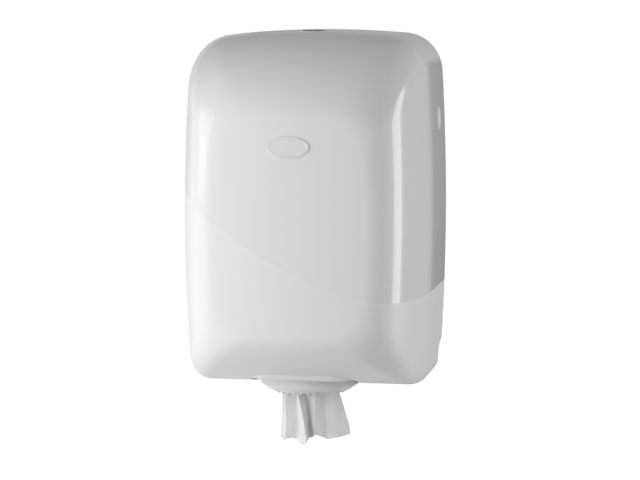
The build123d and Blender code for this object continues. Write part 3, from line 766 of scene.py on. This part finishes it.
@dataclass(frozen=True)
class Skin:
    """The cover's outer skin and the skins inside it."""

    width: float = 0.240
    height: float = 0.346
    depth: float = 0.225
    wall: float = 0.0028
    rim_gap: float = 0.0015
    slope: float = math.tan(math.radians(0.67))
    bottom_slope_share: float = 0.3
    widest_level: float = 0.0092
    top_taper: float = 0.0066
    bottom_taper: float = 0.0057
    top_arch: float = 0.0068
    top_corner: float = 0.0395
    low_corner: float = 0.0144
    low_corner_front: float = 0.036
    side: Rounding = Rounding(0.0468, 0.1378, 2.3)
    top: Rounding = Rounding(0.0754, 0.1132, 1.73)
    bottom: Rounding = Rounding(0.0623, 0.140, 1.7)
    # Steps along the foot, low corner, flank, high corner and crown.
    steps: tuple[int, ...] = (12, 12, 30, 18, 16)
    # Steps from the rim to where the rounding starts, and from there to the front.
    rings: tuple[int, int] = (6, 36)

    def top_level(self, off_wall: float, inset: float) -> float:
        """Height of the top in the middle, at a distance from the wall."""
        drawn = self.top.drawn_in(self.depth - inset - off_wall, inset)
        return self.height / 2 - inset - self.slope * off_wall - drawn

    def outline(self, off_wall: float, inset: float) -> list[Vector]:
        """Front-view points around the skin, from the middle of its bottom, first to the right.

        Args:
            off_wall: distance from the wall.
            inset: how far inside the outer skin.

        Returns:
            The points, x and z.
        """
        behind = self.depth - inset - off_wall
        top = self.top_level(off_wall, inset)
        drawn = self.bottom.drawn_in(behind, inset)
        bottom = -self.height / 2 + inset + self.bottom_slope_share * self.slope * off_wall + drawn
        side = self.width / 2 - inset - self.slope * off_wall - self.side.drawn_in(behind, inset)
        near = max(0.0, 1.0 - behind / (self.bottom.depth - inset))
        low = self.low_corner + (self.low_corner_front - self.low_corner) * self.bottom.share(near) - inset
        high = self.top_corner - inset
        shoulder = Vector((side - self.top_taper, top - self.top_arch))
        crown = Arc.through(Vector((-shoulder.x, shoulder.y)), Vector((0, top)), shoulder)
        widest, heel = Vector((side, self.widest_level)), Vector((side - self.bottom_taper, bottom))
        flank = Arc.through(shoulder, widest, heel)
        low_level = bottom + low
        reach = math.sqrt((flank.radius - low) ** 2 - (low_level - flank.centre.y) ** 2)
        low_round = Arc(Vector((flank.centre.x + reach, low_level)), low)
        high_round = Arc(self.meeting(crown, flank, high), high)
        foot = Vector((low_round.centre.x, bottom))
        low_end, high_start = flank.towards(low_round.centre), flank.towards(high_round.centre)
        high_end = crown.towards(high_round.centre)
        peak = Vector((0, top))
        half = [Vector((foot.x * step / self.steps[0], bottom)) for step in range(self.steps[0])]
        stops = (foot, low_end, high_start, high_end, peak)
        arcs = (low_round, flank, high_round, crown)
        for arc, start, end, steps in zip(arcs, stops, stops[1:], self.steps[1:]):
            half += arc.run(start, end, steps)
        return half + [peak] + [Vector((-p.x, p.y)) for p in reversed(half[1:])]

    @staticmethod
    def meeting(first: Arc, second: Arc, inside: float) -> Vector:
        """Right-hand point that lies the same distance inside two circles.

        Args:
            first: a circle.
            second: another circle.
            inside: the distance.

        Returns:
            The point.
        """
        a, b = first.radius - inside, second.radius - inside
        between = second.centre - first.centre
        along = (between.length_squared + a * a - b * b) / (2.0 * between.length)
        off = math.sqrt(a * a - along * along)
        unit = between.normalized()
        base = first.centre + unit * along
        ends = [base + Vector((-unit.y, unit.x)) * off * sign for sign in (1, -1)]
        return max(ends, key=lambda p: (p.y > base.y - 1e-9, p.x))

    def stations(self, inset: float) -> list[float]:
        """Distances from the wall at which the skin is drawn, from the rim to the front.

        Args:
            inset: how far inside the outer skin.

        Returns:
            The distances.
        """
        front = self.depth - inset
        deepest = self.bottom.depth - inset
        flat, steps = self.rings
        rounded = [front - deepest * (1 - math.cos(math.pi / 2 * step / steps)) for step in range(steps + 1)]
        straight = [self.rim_gap + (rounded[-1] - self.rim_gap) * step / flat for step in range(flat)]
        return straight + rounded[::-1]


@dataclass
class Cover:
    """One moulded hood with its openings, lock seat and hinge bosses."""

    skin: Skin = Skin()
    lock_off_wall: float = 0.0915
    lock_pad_radius: float = 0.0135
    lock_pad_rise: float = 0.0002
    lock_pad_thickness: float = 0.0042
    lock_hole_radius: float = 0.0096
    window_off_wall: float = 0.041
    window_level: float = 0.0855
    window_hole_radius: float = 0.01195
    outlet_half_width: float = 0.052
    outlet_front: float = 0.167
    outlet_corner: float = 0.024
    outlet_rise: float = 0.030
    lip_above_foot: float = 0.0126
    lip_round: float = 0.0023
    notch_depth: float = 0.018
    notch_height: float = 0.0345
    notch_slope: float = 0.008
    hinge_off_wall: float = 0.027
    hinge_above_bottom: float = 0.0203
    hub_radius: float = 0.0065
    boss_inner: float = 0.0976
    boss_end: float = 0.1135
    pin_hole_radius: float = 0.0026
    pin_end: float = 0.1072
    over: float = 0.002
    drill_length: float = 0.030
    corner_steps: int = 14
    lip_steps: int = 5

    @property
    def foot(self) -> float:
        """Level of the cover's lowest edge at the wall."""
        return -self.skin.height / 2

    @property
    def lock_seat(self) -> float:
        """Level of the flat on which the lock's flange rests."""
        return self.skin.top_level(self.lock_off_wall, 0.0) + self.lock_pad_rise

    def ring(self, mesh: Mesh, off_wall: float, inset: float) -> list[bmesh.types.BMEdge]:
        """Adds the skin's outline at one distance from the wall.

        Args:
            mesh: what it is added to.
            off_wall: distance from the wall.
            inset: how far inside the outer skin.

        Returns:
            Its edges.
        """
        points = self.skin.outline(off_wall, inset)
        made = bmesh.ops.create_circle(mesh, segments=len(points), radius=1.0)["verts"]
        for vertex, point in zip(made, points):
            vertex.co = (point.x, -off_wall, point.y)
        return list({edge for vertex in made for edge in vertex.link_edges})

    def rings(self, mesh: Mesh, inset: float) -> list[list[bmesh.types.BMEdge]]:
        """Adds the outlines of one skin, from its rim to its front."""
        return [self.ring(mesh, station, inset) for station in self.skin.stations(inset)]

    @staticmethod
    def bridge(mesh: Mesh, rings: list[list[bmesh.types.BMEdge]]) -> None:
        """Joins each outline to the next one."""
        for ahead, behind in zip(rings, rings[1:]):
            bmesh.ops.bridge_loops(mesh, edges=ahead + behind)

    @staticmethod
    def close(mesh: Mesh, *ends: list[bmesh.types.BMEdge]) -> None:
        """Fills the open ends and turns the faces outward."""
        for end in ends:
            bmesh.ops.edgeloop_fill(mesh, edges=end)
        face_outward(mesh)

    def shell(self) -> Piece:
        """Builds the hood as one closed wall, open towards the wall of the room.

        Returns:
            The hood without its openings.
        """
        mesh = bmesh.new()
        outer, inner = self.rings(mesh, 0.0), self.rings(mesh, self.skin.wall)
        rim = list({vertex for edge in inner[0] for vertex in edge.verts})
        bmesh.ops.translate(mesh, vec=(0, self.over, 0), verts=rim)
        self.bridge(mesh, outer[::-1] + inner)
        bmesh.ops.translate(mesh, vec=(0, -self.over, 0), verts=rim)
        self.close(mesh, outer[-1], inner[-1])
        return new_piece("cover", mesh)

    def core(self) -> Piece:
        """Solid that ends in the middle of the hood's wall.

        Returns:
            The solid.
        """
        mesh = bmesh.new()
        rings = self.rings(mesh, self.skin.wall / 2)
        self.bridge(mesh, rings)
        self.close(mesh, rings[0], rings[-1])
        return new_piece("core", mesh)

    def outlet_block(self, mesh: Mesh, grown: float, rear: float, levels: Pair) -> None:
        """Adds a block on the outlet's outline.

        Args:
            mesh: what it is added to.
            grown: how far it goes past the outlet's edge.
            rear: where it ends towards the wall.
            levels: its lowest and highest level.
        """
        block = bmesh.ops.create_cube(mesh, size=1.0)["verts"]
        front, (low, high) = -self.outlet_front - grown, levels
        width = 2 * (self.outlet_half_width + grown)
        bmesh.ops.scale(mesh, vec=(width, rear - front, high - low), verts=block)
        bmesh.ops.translate(mesh, vec=(0, (rear + front) / 2, (low + high) / 2), verts=block)
        corners = [e for e in {e for v in block for e in v.link_edges}
                   if all(v.co.y < (rear + front) / 2 for v in e.verts)
                   and abs(e.verts[0].co.z - e.verts[1].co.z) > (high - low) / 2]
        bmesh.ops.bevel(mesh, geom=corners, offset=self.outlet_corner + grown, affect="EDGES",
                        segments=self.corner_steps, **ROUND)

    def lip(self) -> Piece:
        """Lip along the front of the outlet.

        Returns:
            The lip, outside the core.
        """
        mesh = bmesh.new()
        low = self.foot + self.lip_above_foot
        rear = self.outlet_corner - self.outlet_front + self.skin.wall + self.over
        self.outlet_block(mesh, self.skin.wall, rear, (low, low + self.outlet_rise))
        edges = [e for e in mesh.edges if all(v.co.z < low + self.lip_round for v in e.verts)
                 and any(v.co.y < rear - self.lip_round for v in e.verts)]
        bmesh.ops.bevel(mesh, geom=edges, offset=self.lip_round, affect="EDGES",
                        segments=self.lip_steps, **ROUND)
        lip = new_piece("lip", mesh)
        cut_or_join(lip, self.core(), "DIFFERENCE")
        return lip

    def additions(self) -> Piece:
        """Lock pad and hinge bosses.

        Returns:
            The solids, as one object.
        """
        mesh = bmesh.new()
        middle = self.lock_seat - self.lock_pad_thickness / 2
        round_bar(mesh, Vector((0, -self.lock_off_wall, middle)), Vector((0, 0, 1)), self.lock_pad_radius,
                  self.lock_pad_thickness, 72)
        for side in Side:
            centre = Vector((side.value * (self.boss_inner + self.boss_end) / 2, -self.hinge_off_wall,
                             self.foot + self.hinge_above_bottom))
            round_bar(mesh, centre, Vector((1, 0, 0)), self.hub_radius, self.boss_end - self.boss_inner, 40)
        return new_piece("additions", mesh)

    def holes(self) -> Piece:
        """Solids of the outlet, the window holes, the lock's hole and the pins' holes.

        Returns:
            The solids, as one object.
        """
        mesh = bmesh.new()
        round_bar(mesh, Vector((0, -self.lock_off_wall, self.lock_seat)), Vector((0, 0, 1)),
                  self.lock_hole_radius, self.drill_length, 64)
        for side in Side:
            eye = Vector((side.value * self.skin.width / 2, -self.window_off_wall, self.window_level))
            round_bar(mesh, eye, Vector((1, 0, 0)), self.window_hole_radius, self.drill_length, 72)
            inner = self.boss_inner - self.over
            pin = Vector((side.value * (inner + self.pin_end) / 2, -self.hinge_off_wall,
                          self.foot + self.hinge_above_bottom))
            round_bar(mesh, pin, Vector((1, 0, 0)), self.pin_hole_radius, self.pin_end - inner, 32)
        self.outlet_block(mesh, 0.0, self.over, (self.foot - self.over, self.foot + self.outlet_rise))
        return new_piece("holes", mesh)

    def notch(self) -> Piece:
        """Solid that cuts the lower rear corners back.

        Returns:
            The solid.
        """
        mesh = bmesh.new()
        y = -(self.skin.rim_gap + self.notch_depth)
        profile = [
            (self.over, self.foot - self.over), (y, self.foot - self.over),
            (y, self.foot + self.notch_height - self.notch_slope),
            (-self.skin.rim_gap, self.foot + self.notch_height), (self.over, self.foot + self.notch_height),
        ]
        face = mesh.faces.new([mesh.verts.new((-self.skin.width, *point)) for point in profile])
        extruded(mesh, [face], (2 * self.skin.width, 0, 0))
        face_outward(mesh)
        return new_piece("notch", mesh)

    def build(self) -> Piece:
        """Builds and dresses the hood.

        Returns:
            The hood.
        """
        cover = self.shell()
        cut_or_join(cover, self.additions(), "UNION")
        cut_or_join(cover, self.lip(), "UNION")
        cut_or_join(cover, self.holes(), "DIFFERENCE")
        cut_or_join(cover, self.notch(), "DIFFERENCE")
        settle(cover)
        WHITE_PLASTIC.dress(cover)
        return seated(cover, "cover", Slot.COVER_GLOSS, "cover_shell")


@dataclass
class Badge:
    """Oval plate with a rounded edge and a faint rim, left bare."""

    off_wall: float = 0.225
    level: float = 0.0667
    half_width: float = 0.020
    half_height: float = 0.0102
    thickness: float = 0.0016
    rounding: float = 0.0011
    steps: int = 6
    rim: float = 0.0008
    recess: float = 0.00012

    def build(self) -> Piece:
        """Builds and dresses the badge.

        Returns:
            The badge.
        """
        mesh = bmesh.new()
        flat = bmesh.ops.create_circle(mesh, cap_ends=True, segments=96, radius=1.0)["verts"]
        bmesh.ops.scale(mesh, vec=(self.half_width, self.half_height, 1.0), verts=flat)
        upper = extruded(mesh, mesh.faces[:], (0, 0, self.thickness - self.rounding))
        face_outward(mesh)
        turns = [math.pi / 2 * step / self.steps for step in range(self.steps + 1)]
        radius = self.rounding
        insets = [(radius * (math.cos(low) - math.cos(high)), radius * (math.sin(high) - math.sin(low)))
                  for low, high in zip(turns, turns[1:])]
        for inset, rise in insets + [(self.rim, 0.0), (self.recess, -self.recess), (self.rim, 0.0)]:
            bmesh.ops.inset_region(mesh, faces=upper, thickness=inset, depth=rise, use_even_offset=True)
        stand = Matrix.Translation((0, -self.off_wall, self.level)) @ UPRIGHT
        bmesh.ops.transform(mesh, matrix=stand, verts=mesh.verts[:])
        badge = new_piece("badge_plate", mesh, 60.0)
        BADGE_PLASTIC.dress(badge)
        return seated(badge, "cover", Slot.COVER_GLOSS, "badge")


# Pieces carried over from the CAD model


@dataclass(frozen=True)
class Carried:
    """A CAD node shown as a merged copy with softened edges."""

    node: str
    body: str
    finish: Finish
    slot: Slot
    edge: float
    segments: int

    def build(self, nodes: dict[str, Piece]) -> Piece:
        """Builds and dresses the copy.

        Args:
            nodes: the CAD nodes by name.

        Returns:
            The copy.
        """
        mesh = bmesh.new()
        mesh.from_mesh(nodes[self.node].data)
        bmesh.ops.remove_doubles(mesh, verts=mesh.verts[:], dist=CAD_MERGED)
        flat = math.radians(FLAT_ANGLE)
        bmesh.ops.dissolve_limit(mesh, angle_limit=flat, verts=mesh.verts[:], edges=mesh.edges[:])
        piece = new_piece(f"{self.node}_dressed", mesh)
        if self.edge:
            soften_edges(piece, self.edge, self.segments)
        self.finish.dress(piece)
        return seated(piece, self.body, self.slot, self.node)


CARRIED = tuple(
    Carried(node, body, finish, slot, edge, segments)
    for body, finish, slot, edge, segments, nodes in (
        ("fixed", INNER_PLASTIC, Slot.INNER_PLASTIC, 0.0004, 2, "back_plate roll_shelf strike_bracket"),
        ("fixed", ZINC, Slot.ZINC, 0.00025, 2, "shelf_screws nozzle_screws strike_screws"),
        ("fixed", SATIN_PLASTIC, Slot.COVER_SATIN, 0.0004, 2, "nozzle_cone"),
        ("fixed", SATIN_PLASTIC, Slot.COVER_SATIN, 0.0002, 2, "tear_ring"),
        ("fixed", PIN_STEEL, Slot.PIN_STEEL, 0.0004, 2, "hinge_pin_left hinge_pin_right"),
        ("cover", CLEAR, Slot.CLEAR, 0.0, 2, "window_left window_right"),
        ("cover", LOCK_PLASTIC, Slot.LOCK_DARK, 0.0005, 3, "lock_housing"),
        ("cover", LOCK_PLASTIC, Slot.LOCK_DARK, 0.0005, 2, "lock_nut"),
        ("lock", LOCK_NICKEL, Slot.LOCK_METAL, 0.0003, 2, "lock_barrel"),
        ("lock", ZINC, Slot.ZINC, 0.0003, 2, "lock_cam"),
        ("lock", ZINC, Slot.ZINC, 0.00025, 2, "cam_screw"),
    )
    for node in nodes.split()
)


# Paper


@dataclass
class Roll:
    """Wound paper roll with an open core and a loose outer end."""

    centre_y: float = -0.110
    radius: float = 0.095
    core: float = 0.029
    low: float = -0.1239
    height: float = 0.218
    edge: float = 0.002
    turns: int = 180
    step: float = 0.0004
    edge_steps: int = 6
    end_rings: int = 8

    def build(self) -> Piece:
        """Builds and dresses the roll.

        Returns:
            The roll.
        """
        mesh = bmesh.new()
        high = self.low + self.height
        corners = [(self.core, self.low), (self.radius, self.low), (self.radius, high), (self.core, high)]
        profile = [mesh.verts.new((x, self.centre_y, z)) for x, z in corners]
        for ends in zip(profile, profile[1:] + profile[:1]):
            mesh.edges.new(ends)
        bmesh.ops.bevel(mesh, geom=profile[1:3], offset=self.edge, affect="VERTICES",
                        segments=self.edge_steps, **ROUND)
        rounds = [e for e in mesh.edges if all(v.co.x < self.core + self.edge for v in e.verts)]
        bmesh.ops.subdivide_edges(mesh, edges=rounds, cuts=self.end_rings)
        bmesh.ops.spin(mesh, geom=mesh.verts[:] + mesh.edges[:], cent=(0, self.centre_y, 0), axis=(0, 0, 1),
                       angle=math.tau, steps=self.turns, use_merge=True)
        bmesh.ops.remove_doubles(mesh, verts=mesh.verts[:], dist=MERGED)
        face_outward(mesh)
        for vertex in mesh.verts:
            out = Vector((vertex.co.x, vertex.co.y - self.centre_y, 0))
            if out.length > self.radius - self.edge:
                share = (math.atan2(out.y, out.x) / math.tau) % 1.0
                vertex.co -= out.normalized() * self.step * share
        roll = new_piece("roll", mesh, 40.0)
        ROLL_PAPER.dress(roll)
        return seated(roll, "roll", Slot.PAPER, "paper_roll")


@dataclass(frozen=True)
class Crease:
    """One size of crease in the paper: its depth, its mean, its fineness across and down."""

    depth: float
    mean: float
    across: float
    down: float

    def push(self, at: Vector, level: float) -> float:
        """How far it pushes the sheet at a point in plan view and a level."""
        place = Vector((at.x * self.across, at.y * self.across, level * self.down))
        return (noise.noise(place) + self.mean) * self.depth


@dataclass
class Tail:
    """The sheet that is drawn from the core, gathered in the ring and torn off below it."""

    centre_y: float = -0.110
    top: float = -0.0962
    ring_bottom: float = -0.179
    hem: float = -0.2295
    neck_radius: float = 0.0287
    hem_reach: float = 0.040
    rag: float = 0.0095
    sheet: float = 0.0004
    around: int = 420
    down: int = 110
    neck_folds: tuple[Pair, ...] = (
        (-1.0, 0.0), (-0.66, -0.3), (-0.78, -0.62), (-0.42, -0.5), (-0.26, -0.965), (-0.06, -0.5),
        (0.3, -0.95), (0.52, -0.52), (0.88, -0.47), (0.99, 0.1), (0.6, 0.28), (0.74, 0.67), (0.25, 0.5),
        (0.12, 0.99), (-0.2, 0.52), (-0.62, 0.78), (-0.62, 0.28),
    )
    hem_folds: tuple[Pair, ...] = (
        (-0.76, -0.05), (-0.56, -0.22), (-0.55, -0.53), (-0.3, -0.4), (0.04, -0.63), (0.05, -0.22),
        (0.2, -0.5), (0.46, -0.36), (0.8, -0.32), (1.08, -0.04), (0.66, 0.1), (0.64, 0.44), (0.24, 0.2),
        (0.1, 0.55), (-0.18, 0.2), (-0.46, 0.46), (-0.52, 0.14),
    )
    torn: tuple[Pair, ...] = (
        (-1.1, 0.7), (-0.76, 0.75), (-0.66, 1.0), (-0.58, 0.5), (-0.36, 0.45), (-0.2, 0.95), (-0.04, 1.0),
        (0.04, 0.7), (0.08, 0.05), (0.2, 0.0), (0.36, 0.25), (0.5, 0.6), (0.6, 0.45), (1.1, 0.15),
    )
    opening: tuple[Pair, ...] = ((0.0, 0.0), (0.3, 0.36), (0.65, 0.78), (1.0, 1.0))
    seam_fold: int = 13
    smoothing: int = 7
    fray: float = 0.0012
    fray_places: Pair = (90.0, 3.1)
    ripple: float = 0.0016
    ripple_round: float = 5.5
    ripple_down: float = 9.0
    crumple: Crease = Crease(0.0012, 0.45, 130.0, 75.0)
    fine: Crease = Crease(0.0003, 0.4, 420.0, 130.0)
    neck_softness: float = 0.15

    @staticmethod
    def reading(table: Sequence[Pair], at: float) -> float:
        """Value between the rows of a table.

        Args:
            table: pairs of place and value, places rising.
            at: the place.

        Returns:
            The value there.
        """
        if at <= table[0][0]:
            return table[0][1]
        for (x0, y0), (x1, y1) in zip(table, table[1:]):
            if at <= x1:
                return y0 + (y1 - y0) * (at - x0) / (x1 - x0)
        return table[-1][1]

    def loop(self, folds: Sequence[Pair], reach: float) -> list[Vector]:
        """Plan-view points along the sheet, seam to seam, with its folds slightly rounded.

        Args:
            folds: the folds' places as shares.
            reach: what the shares are of.

        Returns:
            One point per column of the sheet.
        """
        order = list(folds[self.seam_fold:]) + list(folds[:self.seam_fold + 1])
        corners = [Vector(fold) * reach for fold in order]
        runs = len(corners) - 1
        points = []
        for column in range(self.around):
            at = column / self.around * runs
            index = int(at)
            points.append(corners[index].lerp(corners[index + 1], at - index))
        for _ in range(self.smoothing):
            ahead = points[1:] + points[:1]
            points = [(points[i - 1] + points[i] * 2 + ahead[i]) / 4 for i in range(self.around)]
        return points + points[:1]

    def gathered(self, across: float, down: float, neck: list[Vector], hem: list[Vector]) -> Vector:
        """Where a point of the flat sheet comes to lie.

        Args:
            across: share of the way round.
            down: share of the way down.
            neck: the sheet's line in the ring.
            hem: its line at the hem.

        Returns:
            The place.
        """
        column = min(self.around, max(0, round(across * self.around)))
        edge = hem[column].x / self.hem_reach
        fray = noise.noise(Vector((across * self.fray_places[0], self.fray_places[1], 0.0))) * self.fray
        lowest = self.hem + self.rag * (1.0 - self.reading(self.torn, edge)) + abs(fray)
        level = self.top + (lowest - self.top) * down
        flare = (self.ring_bottom - level) / (self.ring_bottom - self.hem)
        opened = self.reading(self.opening, flare)
        at = neck[column].lerp(hem[column], opened)
        ahead, behind = (column + 1) % self.around, (column - 1) % self.around
        run = neck[ahead].lerp(hem[ahead], opened) - neck[behind].lerp(hem[behind], opened)
        inward = Vector((-run.y, run.x)).normalized()
        turn, wide = across * math.tau, self.ripple_round
        ripple = noise.noise(Vector((math.cos(turn) * wide, math.sin(turn) * wide, level * self.ripple_down)))
        soft = self.neck_softness + (1.0 - self.neck_softness) * opened
        push = (abs(ripple) * self.ripple + self.crumple.push(at, level) + self.fine.push(at, level)) * soft
        place = at + inward * (push + 0.5 * self.sheet)
        return Vector((place.x, self.centre_y + place.y, level))

    def build(self) -> Piece:
        """Builds and dresses the tail.

        Returns:
            The tail.
        """
        mesh = bmesh.new()
        mesh.loops.layers.uv.new("sheet")
        bmesh.ops.create_grid(mesh, x_segments=self.around, y_segments=self.down, size=0.5, calc_uvs=True)
        neck = self.loop(self.neck_folds, self.neck_radius)
        hem = self.loop(self.hem_folds, self.hem_reach)
        for vertex in mesh.verts:
            vertex.co = self.gathered(vertex.co.x + 0.5, 0.5 - vertex.co.y, neck, hem)
        face_outward(mesh)
        area = sum(face.calc_area() for face in mesh.faces)
        tail = new_piece("tail", mesh, 75.0)
        body = tail.modifiers.new("sheet", "SOLIDIFY")
        body.thickness = self.sheet
        body.offset = 0.0
        TAIL_PAPER.dress(tail)
        seated(tail, "tail", Slot.PAPER, "paper_tail")
        length = self.top - self.hem
        area / length
        return tail


# Studio


def plane(name: str, size: Pair, stand: Matrix, finish: Finish) -> Piece:
    """Dressed rectangle.

    Args:
        name: the object's name.
        size: its width and height.
        stand: where it stands.
        finish: its material.

    Returns:
        The object.
    """
    mesh = bmesh.new()
    bmesh.ops.create_grid(mesh, x_segments=1, y_segments=1, size=0.5)
    bmesh.ops.scale(mesh, vec=(*size, 1.0), verts=mesh.verts[:])
    bmesh.ops.transform(mesh, matrix=stand, verts=mesh.verts[:])
    piece = new_piece(name, mesh)
    finish.dress(piece)
    return piece


@dataclass(frozen=True)
class FloorFinish(Finish):
    """Pale floor that fades into a white backdrop and keeps the shadow."""

    label: str = "studio_floor"
    lift: float = 0.87

    def surface(self, graph: Graph) -> None:
        """Builds the shader.

        Args:
            graph: the material's node tree.
        """
        camera, glossy, clear = graph.rays()
        share = (camera + glossy + clear).clamped()
        glow = graph.mix(share, BLACK, (self.lift,) * 3)
        graph.finish({
            "Base Color": (0.52, 0.52, 0.52, 1.0),
            "Roughness": 0.9,
            "Specular IOR Level": 0.1,
            "Emission Color": glow,
            "Emission Strength": 1.0,
        })


@dataclass(frozen=True)
class Lamp:
    """A soft lamp, aimed at a point."""

    name: str
    place: Triple
    aim: Triple
    size: Pair
    power: float
    mirrored: bool = True

    def build(self) -> None:
        """Adds the lamp."""
        light = bpy.data.lights.new(self.name, "AREA")
        light.shape = "RECTANGLE"
        light.size, light.size_y = self.size
        light.energy = self.power
        lamp = linked(self.name, light)
        lamp.matrix_world = aimed(Vector(self.place), Vector(self.aim) - Vector(self.place))
        lamp.visible_glossy = self.mirrored
        lamp.visible_camera = False


@dataclass(frozen=True)
class ScreenFinish(Finish):
    """Grey screen with a dark middle. Each part has where it starts, where it is full, and its grey."""

    label: str = "studio_screen"
    right: Triple = (0.175, 0.275, 0.45)
    left: Triple = (0.12, 0.24, 0.66)
    top: Triple = (0.150, 0.190, 0.42)

    @staticmethod
    def part(along: Value, fade: Triple) -> Value:
        """Grey of one part of the screen, from its direction and its fade."""
        return ((along - fade[0]) / (fade[1] - fade[0])).clamped() * fade[2]

    def surface(self, graph: Graph) -> None:
        """Builds the shader.

        Args:
            graph: the material's node tree.
        """
        across, _, up = graph.parts(graph.place())
        parts = (self.part(across, self.right), self.part(0.0 - across, self.left), self.part(up, self.top))
        level = up.math("MAXIMUM", parts[0], up.math("MAXIMUM", *parts[1:]))
        graph.finish({
            "Base Color": (0.0, 0.0, 0.0, 1.0),
            "Roughness": 1.0,
            "Specular IOR Level": 0.0,
            "Emission Color": graph.mix(level, BLACK, WHITE),
            "Emission Strength": 1.0,
        })


@dataclass(frozen=True)
class Screen:
    """Upright screen behind the object, seen only as a reflection in glossy plastic."""

    left: float = -0.95
    right: float = 0.95
    behind: float = 0.5
    low: float = -0.5
    high: float = 0.40

    def build(self) -> None:
        """Adds the screen."""
        size = (self.right - self.left, self.high - self.low)
        middle = Vector(((self.left + self.right) / 2, self.behind, (self.low + self.high) / 2))
        screen = plane("screen", size, Matrix.Translation(middle) @ UPRIGHT, ScreenFinish())
        for ray in ("camera", "diffuse", "transmission", "volume_scatter", "shadow"):
            setattr(screen, f"visible_{ray}", False)


@dataclass
class Studio:
    """Floor, lamps, world and camera."""

    floor_level: float = -0.55
    floor_reach: float = 12.0
    fill: float = 0.43
    fill_above: float = 0.28
    azimuth: float = 10.3297
    turned: float = 0.269
    pitch: float = 6.074
    distance: float = 2.08246
    camera_level: float = 0.19078
    target_y: float = -0.1125
    focal: float = 120.85
    sensor: float = 36.0
    sight: float = 60.0
    above_gain: float = 1.4
    horizon: Pair = (2.5, 7.0)
    lamps: tuple[Lamp, ...] = (
        Lamp("key_left_front", (-0.20, -0.45, 0.0), (-0.08, -0.225, 0.0), (0.16, 0.80), 0.79, False),
        Lamp("front_right", (0.80, -0.85, 0.10), (0.05, -0.2, 0.0), (0.5, 0.7), 2.0, False),
        Lamp("softbox_left", (-1.06, -0.67, 0.27), (0.0, -0.2, 0.05), (0.86, 0.64), 3.5),
        Lamp("low_left", (-0.58, -0.20, -0.42), (0.0, -0.12, -0.20), (0.20, 0.20), 0.95, False),
        Lamp("strip_right", (1.09, 0.245, 0.05), (0.0, -0.11, 0.0), (0.36, 0.85), 3.2),
    )
    screen: Screen = Screen()

    def floor(self) -> None:
        """Adds the floor."""
        size = (2 * self.floor_reach,) * 2
        floor = plane("floor", size, Matrix.Translation((0, 0, self.floor_level)), FloorFinish())

    def world(self) -> None:
        """Sets an even fill light, seen as white behind the object."""
        world = bpy.data.worlds.new("studio")
        bpy.context.scene.world = world
        world.use_nodes = True
        graph = Graph(world.node_tree)
        camera, glossy, clear = graph.rays()
        _, _, up = graph.parts(graph.place("Generated"))
        above = (up * self.above_gain).clamped()
        near_floor = (self.horizon[0] - up.math("ABSOLUTE", up) * self.horizon[1]).clamped()
        seen = (camera + (glossy + clear) * near_floor).clamped()
        even = graph.mix(above, (self.fill,) * 3, (self.fill_above,) * 3)
        colour = graph.mix(seen, even, WHITE)
        back = graph.node("ShaderNodeBackground", {}, {"Color": colour, "Strength": 1.0})
        graph.node("ShaderNodeOutputWorld", {}, {"Surface": graph.output(back, "Background")})

    def camera(self) -> None:
        """Adds the camera at the photograph's angle."""
        turn, yaw, pitch = (math.radians(a) for a in (self.azimuth, self.turned, self.pitch))
        back = Vector((math.sin(turn), -math.cos(turn), 0))
        right = Vector((math.cos(turn), math.sin(turn), 0))
        place = Vector((0, self.target_y, self.camera_level)) + back * self.distance
        level = -back * math.cos(yaw) + right * math.sin(yaw)
        way = level * math.cos(pitch) - Vector((0, 0, math.sin(pitch)))
        data = bpy.data.cameras.new("camera")
        data.sensor_width, data.lens, data.clip_end = self.sensor, self.focal, self.sight
        camera = linked("camera", data)
        camera.matrix_world = aimed(place, way)
        bpy.context.scene.camera = camera

    def build(self) -> None:
        """Builds the studio."""
        self.floor()
        self.world()
        for lamp in self.lamps:
            lamp.build()
        self.screen.build()
        self.camera()
        bpy.context.scene.view_settings.view_transform = "Standard"


def main() -> None:
    """Builds every piece in order."""
    logging.basicConfig(level=logging.INFO, format="%(name)s: %(message)s")
    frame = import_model()
    pieces = [Cover().build(), Badge().build()]
    pieces += [carried.build(frame["nodes"]) for carried in CARRIED]
    pieces += [Roll().build(), Tail().build()]
    Studio().build()


if __name__ == "__main__":
    main()
